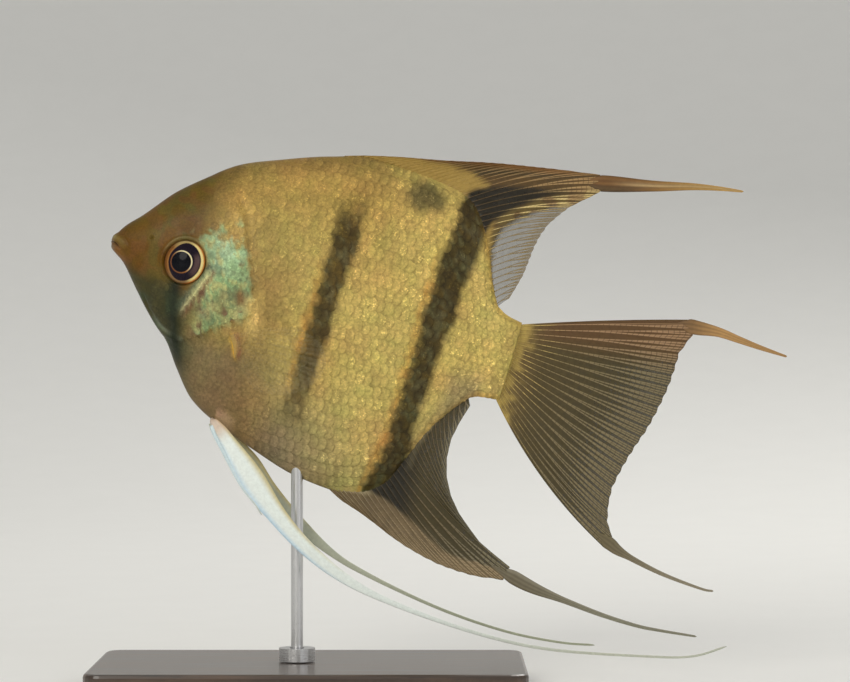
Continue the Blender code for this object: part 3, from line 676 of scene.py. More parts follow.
def markings(s, h, tones):
    """Colour of skin and scales at (s, h): gold flank between brown back and silvery belly, brown-orange snout,
    olive cheek, turquoise gill cover and the dark bars."""
    middle, half, _, _ = form_at(s)
    q = (h - middle) / half
    ahead, up = level(s, h)
    flank = np.array(tones.flank)
    colour = layered(
        blended(tones.belly, flank, eased(q, -1.0, -0.30)),
        (tones.upper_flank, eased(q, 0.05, 0.75) * (1 - 0.45 * eased(s, 0.5, 0.8))),
        (tones.back, 0.75 * eased(q, 0.80, 1.0) * (1 - 0.75 * eased(s, 0.48, 0.60))),
        (flank * 1.12, 0.7 * eased(s, 0.50, 0.72)),
        (flank * (0.63, 0.555, 0.56), 0.90 * faded(s, 0.38, 0.52) * faded(h, 0.03, 0.18)),
        (KEEL_GOLD, 0.45 * eased(np.abs(q), 0.80, 0.97) * eased(s, 0.80, 0.84)),
    )
    colour = colour * (1 - 0.17 * eased(-h, 0.08, 0.22) * faded(s, 0.42, 0.60))[..., None]
    below = eased(s, 0.82, 0.86) * eased(-h, 0.02, 0.10) * faded(s, 0.90, 0.93)
    colour = over(colour, colour * (0.72, 0.76, 0.97), below)
    colour = colour * (1 + 0.14 * eased(s, 0.87, 0.92))[..., None]
    head, _ = beside(s, h, HEAD_LINE)
    colour = over(colour, tones.breast, 0.9 * faded(h, -0.20, -0.135) * faded(s, 0.33, 0.47))
    colour = over(colour, face_tone(s, h, tones), faded(s + 0.10 * np.minimum(h, 0), 0.165, 0.275))
    colour = with_mouth(colour, s, h)
    gill, blotches, fine, large = cover_tone(s, h, ahead, up, tones)
    ragged = 1.5 * (blotches - 0.5) + 1.0 * (fine - 0.5)
    cover = eased(head + ragged * eased(-up, -0.05, 0.02), -0.20, 0.55) * eased(from_eye(s, h), 4.9, 5.7)
    top = up + 0.06 * (large - 0.5) + 0.05 * (fine - 0.5)
    cover *= eased(ahead + 0.02 * (large - 0.5), 0.175, 0.205) * faded(top, -0.020, 0.024)
    plate, share = beside(s, h, PREOPERCLE)
    rear = hump((ahead - 0.327) * 100, 1.5) * eased(up, -0.245, -0.20) * faded(up, -0.165, -0.125)
    main, second, blot, first, root, rims = bars(s, h)
    ink = np.array(tones.bar) * (0.60 + 0.95 * eased(mottle(s, h, 1.2, 32), 0.40, 0.70))[..., None]
    ink = over(ink, BAR_OLIVE, 0.8 * eased(mottle(s, h, 0.8, 33), 0.58, 0.74))
    base = eased(s, 0.345, 0.352) * faded(s, 0.372, 0.41) * faded(h + 0.25 * (s - 0.36), -0.318, -0.302)
    arm, along = beside(s, h, PECTORAL_ROOT)
    colour = layered(
        colour,
        (gill, cover),
        (PLATE_GREEN, 0.6 * hump(plate - 1.2, 0.8) * faded(share, 0.5, 0.7)),
        (PLATE_EDGE, hump(plate - 0.10, 0.34) * faded(share, 0.50, 0.68)),
        (PLATE_GROOVE, 0.85 * hump(plate + 0.80, 0.50) * faded(share, 0.5, 0.7)),
        (EYE_FOLD, 0.5 * hump(from_eye(s, h) - 5.25, 0.30) * eased(h, EYE_H, EYE_H + 0.03)),
        (COVER_REAR, 0.85 * rear),
        *((tone, strength * dots(s, h, places, width)) for tone, strength, places, width in FRECKLES),
        (BAR_RIM, 0.72 * rims),
        (tones.eye_bar, first * (1 - 0.6 * cover)),
        (tones.blotch, 0.86 * blot),
        (TAIL_ROOT_BROWN, root),
        (ink * 1.20, 0.93 * second),
        (ink, 0.96 * main),
        (PELVIC_BASE, 0.55 * base),
        (PECTORAL_BASE, hump(arm - 0.35, 0.45) * eased(along, -0.1, 0.25) * faded(along, 0.75, 1.1)),
        (PECTORAL_AXIL, 0.9 * hump(arm + 0.50, 0.42) * eased(along, -0.1, 0.2) * faded(along, 0.8, 1.1)),
    )
    slow = 2 * mottle(s, h, 9.0, 34) - 1
    quick = 2 * mottle(s, h, 2.1, 35) - 1
    cloud = 0.83 + 0.20 * mottle(s, h, 3.1, 31) + 0.14 * mottle(s, h, 0.85, 36)
    return colour * cloud[..., None] * (1 + ROSY_DRIFT * slow[..., None] + OLIVE_DRIFT * quick[..., None])


# ---------------------------------------------------------------- sizes and colours


def colour_property(name, description, default):
    return bpy.props.FloatVectorProperty(
        name=name, description=description, subtype="COLOR", size=3, min=0.0, max=1.0, default=default
    )


def size_property(name, description, default, low, high):
    return bpy.props.FloatProperty(
        name=name, description=description, subtype="DISTANCE", unit="LENGTH", default=default, min=low, max=high
    )


class AngelfishSizes(bpy.types.PropertyGroup):
    """Sizes of the finished surface."""

    coat_depth: size_property("Coat depth", "How far the skin lies inside the solids", 0.00022, 0, 0.001)
    scale_rise: size_property("Scale rise", "Height of a scale's free edge above the skin", 0.00007, 0, 0.001)
    membrane: size_property("Membrane", "Thickness of the fins between their rays", 0.00016, 0.00005, 0.001)
    eye_radius: size_property("Eye radius", "Radius of the eye where it meets the skin", 0.00482, 0.002, 0.006)
    pupil_radius: size_property("Pupil radius", "Radius of the pupil", 0.00218, 0.001, 0.004)
    camera_distance: size_property("Camera distance", "From the camera to the fish's middle plane", 0.700, 0.2, 3.0)


class AngelfishColours(bpy.types.PropertyGroup):
    """Colours of the fish and of its stand."""

    flank: colour_property("Flank", "Gold of the flank", (0.54, 0.405, 0.115))
    upper_flank: colour_property("Upper flank", "Warmer gold towards the back", (0.42, 0.280, 0.070))
    back: colour_property("Back", "Brown along the back", (0.26, 0.16, 0.045))
    belly: colour_property("Belly", "Silvery olive of the belly", (0.285, 0.235, 0.132))
    breast: colour_property("Breast", "Rosy tan of the breast", (0.215, 0.150, 0.068))
    snout: colour_property("Snout", "Brown-orange of the snout", (0.142, 0.064, 0.006))
    forehead: colour_property("Forehead", "Brown of the forehead", (0.140, 0.082, 0.010))
    cheek: colour_property("Cheek", "Olive of the cheek", (0.058, 0.052, 0.016))
    eye_bar: colour_property("Eye bar", "Grey-green of the bar through the eye", (0.016, 0.021, 0.010))
    gill: colour_property("Gill cover", "Turquoise of the gill cover", (0.28, 0.42, 0.185))
    gill_bright: colour_property("Gill cover light", "Brightest part of the gill cover", (0.49, 0.66, 0.44))
    blotch: colour_property("Blotch", "Grey-green of the blotch on the back", (0.085, 0.075, 0.026))
    bar: colour_property("Bar", "Black-brown of the bars", (0.038, 0.024, 0.003))
    iris: colour_property("Iris", "Dark iris", (0.010, 0.006, 0.012))
    iris_ring: colour_property("Iris ring", "Pale gold ring round the iris", (0.90, 0.67, 0.22))
    membrane: colour_property("Membrane", "Grey-brown of the fin membranes", (0.058, 0.045, 0.015))
    white_ray: colour_property("White ray", "White of the pelvic fins", (0.82, 0.88, 0.84))
    wood: colour_property("Wood", "Dark wood of the base", (0.040, 0.022, 0.012))
    floor: colour_property("Floor", "Pale floor and backdrop", (0.92, 0.92, 0.90))


class Build:
    """What the operators share: the sizes and colours they build with."""

    @property
    def sizes(self):
        return bpy.context.scene.angelfish_sizes

    @property
    def tones(self):
        return bpy.context.scene.angelfish_colours


# ---------------------------------------------------------------- skin


def side_places(count):
    """Shares of the half height, -1 to 1, at which the skin's points lie up one side: closer over the head's
    middle and near the keels."""
    fine = np.linspace(-1, 1, 2001)
    density = 1 + 1.3 * hump(fine + 0.08, 0.40) + 1.2 * hump(np.abs(fine) - 1, 0.10)
    gathered = np.concatenate([[0], np.cumsum((density[1:] + density[:-1]) / 2)])
    return np.interp(np.linspace(0, gathered[-1], count), gathered, fine)


SIDE_POINTS = 116
SIDE_Q = side_places(SIDE_POINTS)


def skin_map(s, q, right):
    """Place of a skin point on the skin's own unwrap: its station across, and its turn round the body up."""
    turn = np.interp(q, SIDE_Q, np.arange(SIDE_POINTS)) / (2 * SIDE_POINTS - 2)
    return np.stack(np.broadcast_arrays(0.01 + 0.98 * s, np.where(right, turn, 1 - turn)), axis=-1)


# Runs of the skin's rings between its two rounded ends: from, to and how many.
RING_RUNS = ((SNOUT_ROUND, 0.385, 204), (0.385, 0.940, 156), (0.940, TAIL_END, 14))
TAIL_ROUND = 0.004
MOUTH_LEVEL = -0.0105


def skin_grid():
    """Stations s, shares of the half height q and side of each skin point, with how far each ring has opened.

    The rings open at the snout along a quarter circle, run back to the tail's root and close there the same way.
    """
    nose = np.linspace(0, math.pi / 2, 13)[1:-1]
    tail = np.linspace(0, math.pi / 2, 8)[1:-1]
    runs = [np.linspace(*run)[1:] for run in RING_RUNS]
    s = np.concatenate([
        SNOUT_ROUND * (1 - np.cos(nose)), [SNOUT_ROUND], *runs, TAIL_END + TAIL_ROUND * np.sin(tail),
    ])
    opened = np.concatenate([np.sin(nose), np.ones(len(s) - len(nose) - len(tail)), np.cos(tail)])
    q = np.concatenate([SIDE_Q, SIDE_Q[-2:0:-1]])
    right = np.arange(len(q)) < SIDE_POINTS
    return s, opened, q, right


def normals_of(grid):
    """Outward unit normals of a grid of rings."""
    along = np.gradient(grid, axis=0)
    around = np.roll(grid, -1, axis=1) - np.roll(grid, 1, axis=1)
    normal = np.cross(around, along)
    normal /= np.maximum(np.linalg.norm(normal, axis=-1, keepdims=True), 1e-12)
    middle = grid.mean(axis=1, keepdims=True)
    return normal * np.sign(((grid - middle) * normal).sum((-1, -2)))[:, None, None]


def fish_paint(paint, tone=None):
    """Colour kept in the mesh, with the skin's fine pigment over it."""
    colour = paint.stored("markings", colour=True)
    speck = paint.noise(0.00045, 4.0)
    cloud = paint.noise(0.0035, 3.0)
    share = 0.80 + 0.26 * speck.between(0.30, 0.70) + 0.16 * (cloud - 0.5)
    if tone is not None:
        share = share * tone
    return paint.brighter(colour, share)


def skin_finish():
    """Moist bare skin: pigment specks, fine pores and a slow shimmer."""
    paint = Paint("fish_skin")
    pores = paint.noise(0.00028, 3.0)
    folds = paint.noise(0.0011, 2.0, stretch=(1.0, 1.0, 1.6))
    height = pores * 0.35 + folds * 0.65
    rough = 0.36 + 0.20 * paint.noise(0.0016, 3.0)
    return paint.set(
        Base_Color=fish_paint(paint), Roughness=rough, Metallic=0.06, Normal=paint.bump(height, 0.00011, 0.55),
        Coat_Weight=0.05, Coat_Roughness=0.20, Specular_IOR_Level=0.14,
    )


class MakeSkin(Build, bpy.types.Operator):
    """One skin over head, lips, jaw, gill covers, trunk and tail base, just inside their solids"""

    bl_idname = "angelfish.make_skin"
    bl_label = "Skin"

    def execute(self, context):
        s, opened, q, right = skin_grid()
        middle, half, width, pinch = form_at(s)
        middle = MOUTH_LEVEL * (1 - opened) + middle * opened
        h = middle[:, None] + (half * opened)[:, None] * q
        out = (width * opened)[:, None] * (1 - np.minimum(q * q, 1)) ** (pinch[:, None] / 2) * LENGTH
        y = np.where(right, out, -out)
        grid = np.stack([np.broadcast_to(s[:, None] * LENGTH, h.shape), y, h * LENGTH], axis=-1)
        normal = normals_of(grid)
        spread = np.broadcast_to(s[:, None], h.shape)
        skin = grid + normal * (relief(spread, h) - bed(spread, h, self.sizes.coat_depth))[..., None]
        skin[..., 0] -= lip_reach(spread, h)
        points = placed(skin[..., 0] / LENGTH, skin[..., 2] / LENGTH, skin[..., 1]).reshape(-1, 3)
        rings, sides = h.shape
        tail = placed(s[-1], middle[-1], 0.0)
        nose = points[:sides].mean(axis=0)
        points = np.vstack([points, nose, tail])
        quads = cells(rings, sides, closed=True)
        made = piece("skin", points, quads, end_fans(rings, sides))
        colours = markings(spread, h, self.tones).reshape(-1, 3)
        give(made, "markings", np.vstack([colours, colours[0], colours[-1]]))
        uv = skin_map(spread, np.broadcast_to(q, h.shape), right).reshape(-1, 2)
        unwrap(made, np.vstack([uv, (0.004, 0.5), (0.996, 0.5)]))
        closed_over(made)
        dressed(made, skin_finish(), "flesh", "head", "upper_lip", "lower_jaw", "gill_cover_left",
                "gill_cover_right", "trunk", "tail_base")
        return {"FINISHED"}


def closed_over(made):
    """Moves the map's corners past its upper edge where a face spans the join under the belly."""
    layer = made.data.uv_layers["OFBake"].data
    uv = np.empty(len(layer) * 2, np.float32)
    layer.foreach_get("uv", uv)
    uv = uv.reshape(-1, 2)
    starts = np.empty(len(made.data.polygons), np.int32)
    made.data.polygons.foreach_get("loop_start", starts)
    face = np.searchsorted(starts, np.arange(len(uv)), side="right") - 1
    high = np.zeros(len(starts))
    np.maximum.at(high, face, uv[:, 1])
    uv[(high[face] - uv[:, 1]) > 0.5, 1] += 1.0
    layer.foreach_set("uv", np.ascontiguousarray(uv).ravel())


# ---------------------------------------------------------------- scales


def station_steps(table):
    """Stations of successive columns whose spacing at s is the table's."""
    fine = np.linspace(table[0][0], table[-1][0], 4000)
    counted = np.concatenate([[0], np.cumsum(np.diff(fine) / table_at(table, fine)[1:])])
    return lambda column: np.interp(column, counted, fine), counted[-1]


def lattice(lengths, heights, rows):
    """Roots of scales: rows along the body, every other one half a scale behind, with each scale's own size."""
    station, count = station_steps(lengths)
    row, column = np.meshgrid(np.arange(-rows, rows + 1), np.arange(0.0, count), indexing="ij")
    s = station(column + 0.5 * (row % 2))
    h = row * table_at(heights, s)
    keep = column + 0.5 * (row % 2) < count
    return s[keep], h[keep], table_at(lengths, s)[keep], table_at(heights, s)[keep]


FLANK_LENGTHS = ((0.205, 0.0150), (0.350, 0.0185), (0.600, 0.0195), (0.800, 0.0180), (0.958, 0.0145))
FLANK_HEIGHTS = ((0.205, 0.0240), (0.380, 0.0275), (0.600, 0.0285), (0.800, 0.0240), (0.958, 0.0185))
SMALL_LENGTHS = ((0.070, 0.0095), (0.250, 0.0115), (0.470, 0.0140))
SMALL_HEIGHTS = ((0.070, 0.0130), (0.250, 0.0160), (0.470, 0.0200))
SMALL_RISE = 0.40
SCALE_PATCH = (0.003, 0.0015)


def scale_field(lengths, heights, rows):
    """A lattice of roots and scale sizes, with each root's share of the half height and its distance ahead of the
    head's line, in millimetres."""
    s, h, long, tall = lattice(lengths, heights, rows)
    middle, half, _, _ = form_at(s)
    head, _ = beside(s, h, HEAD_LINE)
    return s, h, long, tall, np.abs((h - middle) / half), head


def roots():
    """Roots and sizes of one side's scales: (s, h, length, height, rise). Large ones cover the flank, and small
    ones the breast, the cheek and the gill cover."""
    s, h, long, tall, q, head = scale_field(FLANK_LENGTHS, FLANK_HEIGHTS, 20)
    breast = (h < -0.165 + 0.30 * (s - 0.30)) & (s < 0.40)
    nape = h > NAPE
    keep = ((head < 0.35) | (nape & (head < 4.5))) & (q < 0.976) & ~breast
    size = 1 - 0.34 * eased(q, 0.80, 0.97)
    rise = np.where(nape, 1 - 0.95 * eased(head, -3.0, 4.5), 1.0) * (1 - 0.55 * eased(q, 0.85, 0.97))
    rise = rise * (0.55 + 0.45 * eased(s, 0.38, 0.56))
    large = [a[keep] for a in (s, h, long * size, tall * size, rise)]
    s, h, long, tall, q, head = scale_field(SMALL_LENGTHS, SMALL_HEIGHTS, 32)
    breast = (h < -0.160 + 0.30 * (s - 0.30)) & (s < 0.41) & (head < -0.2) & (s > 0.16)
    _, up = level(s, h)
    plate, _ = beside(s, h, PREOPERCLE)
    fold, _ = beside(s, h, CHEEK_FOLD)
    eye = from_eye(s, h)
    ahead = head > 0.6
    cover = ahead & (eye > 6.0) & (s > 0.222) & (up < 0.05) & (h > -0.165)
    cheek = ahead & (eye > 6.2) & (s > 0.125) & (s < 0.222) & (h < -0.07) & (np.abs(plate) > 0.7)
    cheek &= (h > -0.160) & (fold < -0.6)
    keep = (breast | cover | cheek) & (q < 0.90 + 0.03 * breast)
    rise = SMALL_RISE * (1 - 0.75 * eased(q, 0.70, 0.90))
    small = [a[keep] for a in (s, h, long, tall, rise)]
    return [np.concatenate(pair) for pair in zip(large, small)]


ALONG_SCALE = np.array((0.0, 0.36, 0.70, 0.88, 0.965, 1.0))
ACROSS_SCALE = np.array((-1.0, -0.95, -0.78, 0.0, 0.78, 0.95, 1.0))


# A scale's length as a share of the spacing along its row, its half height as a share of the spacing between rows,
# and how far its root strays in s and h.
SCALE_REACH = 1.85
SCALE_HALF = 0.66
ROOT_STRAY = (0.0006, 0.0007)
# Distances over which the lean of the rows and the slope of the flank are taken.
LEAN_OVER = 0.01
SLOPE_OVER = 0.0015


def slope_of(s, h, ds, dh):
    """Slope of the flesh form's flank along one direction, by points a little to either side."""
    return (flank_out(s + ds, h + dh) - flank_out(s - ds, h - dh)) / (2 * SLOPE_OVER * LENGTH)


def scale_points(side, sizes, seed):
    """Points of one side's scales, each a grid from its root back and across it.

    A scale's half height rises and falls as a rounded fan; it lies on the flesh form, lifts evenly from its sunk
    root to its free edge, and its outermost rows fold down into the skin, so that it reads as solid.
    """
    s0, h0, long, tall, rise = (a[:, None, None] for a in roots())
    chance = np.random.default_rng(seed)
    jitter = chance.normal(0, 1, (4, len(s0)))[:, :, None, None]
    s0, h0 = (at + stray * roll for at, stray, roll in zip((s0, h0), ROOT_STRAY, jitter))
    p, a = ALONG_SCALE[None, :, None], ACROSS_SCALE[None, None, :]
    fan = np.sqrt(np.maximum(1 - (np.maximum(p - 0.42, 0) / 0.60) ** 2, 0)) * (0.70 + 0.30 * eased(p, 0, 0.42))
    middle, half, _, _ = form_at(s0)
    middle_behind, half_behind, _, _ = form_at(s0 + LEAN_OVER)
    q0 = (h0 - middle) / half
    lean = np.clip(((middle_behind - middle) + q0 * (half_behind - half)) / LEAN_OVER, -0.55, 0.45) * 0.75
    bulge = 1 - 0.10 * a * a
    ds = long * SCALE_REACH * (p - 0.45) * bulge * (1 + 0.04 * jitter[2])
    dh = tall * SCALE_HALF * a * fan + lean * ds
    s, h = s0 + ds, h0 + dh
    middle, half, _, _ = form_at(s)
    h = middle + half * np.clip((h - middle) / half, -0.993, 0.993)
    edge = (p >= 1) | (np.abs(a) >= 1)
    lift = -0.35 + 1.35 * p ** 0.9 - 0.25 * a * a
    lift = np.where(edge, -0.9, lift) * rise * sizes.scale_rise * (1 + 0.18 * jitter[3])
    lift = lift + 0.020 * MM * jitter[3] * (a - 0.2) * (p > 0.2) * (p < 1) * rise
    out = flank_out(s, h)
    slope_s = slope_of(s, h, SLOPE_OVER, 0)
    slope_h = np.clip(slope_of(s, h, 0, SLOPE_OVER), -4, 4)
    normal = np.stack([-slope_s, np.ones(s.shape), -slope_h], axis=-1)
    normal /= np.linalg.norm(normal, axis=-1, keepdims=True)
    depth = lift + relief(s, h) - bed(s, h, sizes.coat_depth) + sizes.coat_depth * (0.12 + 0.33 * rise)
    sign = 1 if side == "right" else -1
    spot = np.stack([s * LENGTH, out, h * LENGTH], axis=-1) + normal * depth[..., None]
    points = placed(spot[..., 0] / LENGTH, spot[..., 2] / LENGTH, spot[..., 1] * sign)
    return points.reshape(-1, 3), s.shape, (s0, h0, q0), chance, (p, a), (s, h)


def scale_finish():
    """Guanine-backed scales: their own darker free edge, painted shade over the root where it lies under the scale in
    front, which leaves a bright middle, grooves that fan out and a painted glint that differs from scale to scale."""
    paint = Paint("fish_scales")
    along, across = paint.stored("along"), paint.stored("across")
    tone, glint = paint.stored("tone"), paint.stored("glint")
    grain = paint.noise(0.00075, 3.0)
    # Painted light and shade across each scale: the free edge and sides darker by their own pigment, and painted shade
    # over the root where it lies under the scale in front.
    shade = 1.12 - 0.20 * along.between(0.78, 1.0) - 0.10 * across.between(0.5, 1.0)
    shade = shade - 0.24 * (1 - along.between(0.25, 0.75))
    shade = shade * (0.86 + 0.28 * grain.between(0.32, 0.68))
    points = paint.noise(0.00050, 1.0)
    # Painted highlights: small bright glints on some scales, laid into the colour.
    painted_spark = glint * points.between(0.56, 0.70) * along.between(0.20, 0.70) * (1 - 0.6 * across.between(0.2, 0.9))
    colour = fish_paint(paint, tone * shade * (0.98 + 0.95 * painted_spark))
    grooves = paint.noise(0.00022, 2.0)
    rough = 0.44 - 0.12 * painted_spark + 0.12 * paint.noise(0.0009, 2.0)
    return paint.set(
        Base_Color=colour, Roughness=rough, Metallic=0.18, Normal=paint.bump(grooves, 0.00006, 0.6),
        Coat_Weight=0.06, Coat_Roughness=0.22, Specular_IOR_Level=0.22,
    )


def coat(side, sizes, tones, seed, finish):
    """The joined scales of one side."""
    points, shape, (s0, h0, q0), chance, (p, a), where = scale_points(side, sizes, seed)
    count, rows, columns = shape
    each = rows * columns
    one = cells(rows, columns)
    quads = (one[None] + (np.arange(count) * each)[:, None, None]).reshape(-1, 4)
    corner = points[quads]
    facing = np.cross(corner[:, 2] - corner[:, 0], corner[:, 3] - corner[:, 1])[:, 1].sum()
    if (facing > 0) != (side == "right"):
        quads = quads[:, ::-1]
    made = piece(f"scales_{side}", points, quads, closed=False)
    s1, h1 = s0[:, 0, 0], h0[:, 0, 0]
    give(made, "markings", 0.15 * np.repeat(markings(s1, h1, tones), each, axis=0) + 0.85 * markings(
        *where, tones).reshape(-1, 3))
    p, a = (np.broadcast_to(v, shape) for v in (p, a))
    # How strongly each scale's darker edges and painted shade show: less towards the head, on the breast and on the
    # front flank.
    shown = np.minimum(eased(-beside(s0, h0, HEAD_LINE)[0], -4.0, 3.0) + (h0 < NAPE), 1)
    chest = faded(h1, -0.20, -0.13) * faded(s1, 0.33, 0.46)
    shown = shown * (1 - 0.6 * chest[:, None, None]) * (1 - 0.45 * faded(s0, 0.36, 0.56))
    give(made, "along", (0.65 + (p - 0.65) * shown).ravel())
    give(made, "across", (np.abs(a) * shown).ravel())
    tone = 1 + chance.normal(0, 1, count) * np.where(s1 < 0.24, 0.07, 0.055) * (1 - 0.6 * chest)
    # How strongly each scale's painted glint shows.
    painted_glint_strength = chance.random(count) ** 2.2 * 1.5 * (0.45 + 0.75 * eased(s1, 0.35, 0.75)) * (1 - chest)
    give(made, "tone", np.repeat(tone, each))
    give(made, "glint", np.repeat(np.clip(painted_glint_strength, 0, 1), each))
    patch = np.stack([(p - 0.5) * SCALE_PATCH[0], a * SCALE_PATCH[1]], axis=-1)
    uv = skin_map(s0, q0, side == "right") + patch
    unwrap(made, np.clip(uv.reshape(-1, 2), 0.001, 0.999))
    dressed(made, finish, "flesh")


class MakeScales(Build, bpy.types.Operator):
    """Overlapping scales of both sides, from the nape and breast to the tail's root"""

    bl_idname = "angelfish.make_scales"
    bl_label = "Scales"

    def execute(self, context):
        finish = scale_finish()
        coat("left", self.sizes, self.tones, 41, finish)
        coat("right", self.sizes, self.tones, 42, finish)
        return {"FINISHED"}


# ---------------------------------------------------------------- eyes


def eye_finish(tones, sizes, side):
    """Black pupil in a thin gold ring, a dark iris, and an outer ring that is orange-brown in front, paler towards the
    top as a painted highlight, and bright gold behind, under a clear gloss."""
    paint = Paint(f"eye_{side}")
    ring, rear, top = paint.stored("ring"), paint.stored("rear"), paint.stored("top")
    apart = paint.stored("from_pupil") / sizes.pupil_radius
    grain = paint.noise(0.00030, 3.0)
    threads = paint.noise(0.00012, 2.0)
    edge = ring + 0.025 * (grain - 0.5)
    colour = paint.mix(tones.iris, (0.030, 0.018, 0.045), 0.6 * grain.between(0.45, 0.8))
    flush = rear.between(0.55, 1.0) * edge.between(0.50, 0.62) * (1 - edge.between(0.74, 0.84))
    colour = paint.mix(colour, (0.24, 0.14, 0.12), 0.35 * flush)
    inner = 0.865 - 0.125 * (0 - rear).between(0.0, 1.0) - 0.03 * rear.between(0.0, 1.0)
    band = ((edge - inner) / 0.05 + 0.5).between(0.0, 1.0)
    lit = (0.978 * rear + 0.208 * top).between(0.10, 0.65)
    front = paint.mix((0.34, 0.155, 0.042), (0.22, 0.09, 0.026), ((edge - inner) / 0.12).between(0.2, 1.0))
    front = paint.mix(front, (0.24, 0.15, 0.070), (0 - top).between(0.55, 0.95) * 0.8)
    # Painted highlight: the ring paler towards its top.
    front = paint.mix(front, (0.50, 0.40, 0.17), top.between(0.5, 0.95) * 0.8)
    pale = paint.mix(tones.iris_ring, (0.98, 0.86, 0.42), threads.between(0.35, 0.7))
    colour = paint.mix(colour, paint.mix(front, pale, lit), band)
    rim = paint.mix((0.10, 0.055, 0.02), (0.60, 0.17, 0.02), rear.between(0.1, 0.7))
    colour = paint.mix(colour, rim, ring.between(0.915, 0.975) * 0.9)
    thin = apart.between(1.06, 1.11) * (1 - apart.between(1.17, 1.26))
    gold = paint.mix((0.50, 0.19, 0.04), (0.98, 0.86, 0.50), (0.6 * rear + 0.8 * top).between(-0.5, 0.6))
    colour = paint.mix(colour, gold, thin * (0.35 + 0.45 * (0.6 * rear + 0.6 * top).between(-0.8, 0.5)))
    colour = paint.mix((0.0020, 0.0025, 0.005), colour, apart.between(0.98, 1.03))
    return paint.set(
        Base_Color=colour, Roughness=0.36, Metallic=0.0, Coat_Weight=0.14, Coat_Roughness=0.03,
        Normal=paint.bump(threads, 0.00005, 0.4), Specular_IOR_Level=0.05,
    )


# The eye's dome and bowl, its turn forward, its seat out of its solid's middle and the pupil's place on it, in metres.
EYE_RISE = 0.00196
EYE_BOWL = 0.0030
EYE_TURN = math.radians(10.0)
EYE_SEAT = 0.00160
EYE_RINGS = 33
PUPIL_AHEAD, PUPIL_BELOW = 0.00036, 0.00018


class MakeEyes(Build, bpy.types.Operator):
    """Both eyes, each a shallow dome turned a little forward and set inside its fold of skin"""

    bl_idname = "angelfish.make_eyes"
    bl_label = "Eyes"

    def execute(self, context):
        for side, sign in (("left", -1), ("right", 1)):
            self.make(side, sign)
        return {"FINISHED"}

    def make(self, side, sign):
        """A surface of revolution: a spherical cap in front, a rounded rim and a flatter bowl behind."""
        radius = self.sizes.eye_radius
        ball = (radius**2 + EYE_RISE**2) / (2 * EYE_RISE)
        front = np.linspace(0, 1, EYE_RINGS + 1)[1:] * radius
        height = np.sqrt(ball**2 - front**2) - (ball - EYE_RISE)
        back = np.linspace(0, math.pi / 2, 10)[1:-1]
        reach = np.concatenate([front, radius * np.cos(back)])
        height = np.concatenate([height, -EYE_BOWL * np.sin(back)])
        turn = np.linspace(0, 2 * math.pi, 72, endpoint=False)
        along = reach[:, None] * np.cos(turn)
        up = reach[:, None] * np.sin(turn) * EYE_TALL
        out = np.broadcast_to(height[:, None], along.shape)
        ahead = along * math.cos(EYE_TURN) - out * math.sin(EYE_TURN)
        away = out * math.cos(EYE_TURN) + along * math.sin(EYE_TURN)
        seat = EYE_OUT + EYE_SEAT
        points = placed(EYE_S + ahead / LENGTH, EYE_H + up / LENGTH, sign * (seat + away)).reshape(-1, 3)
        poles = placed(
            EYE_S + np.array([-EYE_RISE, EYE_BOWL]) * math.sin(EYE_TURN) / LENGTH, np.full(2, EYE_H),
            sign * (seat + np.array([EYE_RISE, -EYE_BOWL]) * math.cos(EYE_TURN)))
        rings, sides = along.shape
        quads = cells(rings, sides, closed=True)
        made = piece(f"eye_surface_{side}", np.vstack([points, poles]), quads, end_fans(rings, sides))
        ring = np.where(np.arange(rings) < EYE_RINGS, reach / radius, 1.0)
        apart = np.hypot(along + PUPIL_AHEAD, up + PUPIL_BELOW)
        for name, values, ends in (
            ("ring", np.repeat(ring, sides), (0.0, 1.0)),
            ("from_pupil", apart.ravel(), (math.hypot(PUPIL_AHEAD, PUPIL_BELOW), 0.01)),
            ("rear", np.tile(np.cos(turn), rings), (0.0, 0.0)),
            ("top", np.tile(np.sin(turn), rings), (0.0, 0.0)),
        ):
            give(made, name, np.concatenate([values, ends]))
        dressed(made, eye_finish(self.tones, self.sizes, side), "eye", f"eye_{side}")


# ---------------------------------------------------------------- fins


def foot_of(line, width):
    """The two corners where a fin ends just short of a streamer of that starting width."""
    start, after = np.array(line[:2], float)[:, :2] * LENGTH
    along = (after - start) / np.linalg.norm(after - start)
    start = start - along * SEAM * 1.4
    half = np.array((-along[1], along[0])) * width * LENGTH / 2
    return start + half, start - half


def refined(points, count):
    """A line drawn again with more points, even by number between the given ones."""
    wanted = np.linspace(0, len(points) - 1, count)
    return np.column_stack([np.interp(wanted, np.arange(len(points)), column) for column in points.T])


def columns_of(rays):
    """How many lines of points a fin of so many rays has from root to margin."""
    return rays * PER_RAY + 1


def ray_lines(foot, tips, bow, inward, rays):
    """Roots, tips, bow and inward direction of a fin, drawn again for each of its lines of points."""
    count = columns_of(rays)
    bow = np.interp(np.linspace(0, 1, count), np.linspace(0, 1, len(bow)), bow)
    return refined(foot, count), refined(tips, count), bow, None if inward is None else refined(inward, count)


def edged_fin(table, root, sign, leading, trailing, streamer, widths, rays):
    """Roots along the outline and tips round the margin of the dorsal or anal fin."""
    upper, lower = foot_of(streamer, widths[0][1])
    first, second = (upper, lower) if sign < 0 else (lower, upper)
    front = smooth_line(leading, 4 + len(leading)) * LENGTH
    tips = np.vstack([front, first, second, smooth_line(trailing, 9) * LENGTH])
    s = np.linspace(*root, 40)
    foot = smooth_line(np.column_stack([s, table_at(table, s)]), len(tips)) * LENGTH
    inward = -sign * sideways(foot)
    foot = foot - inward * SEAM * 1.3
    return ray_lines(foot, tips, sign * np.linspace(0.02, 0.06, len(tips)), inward, rays)


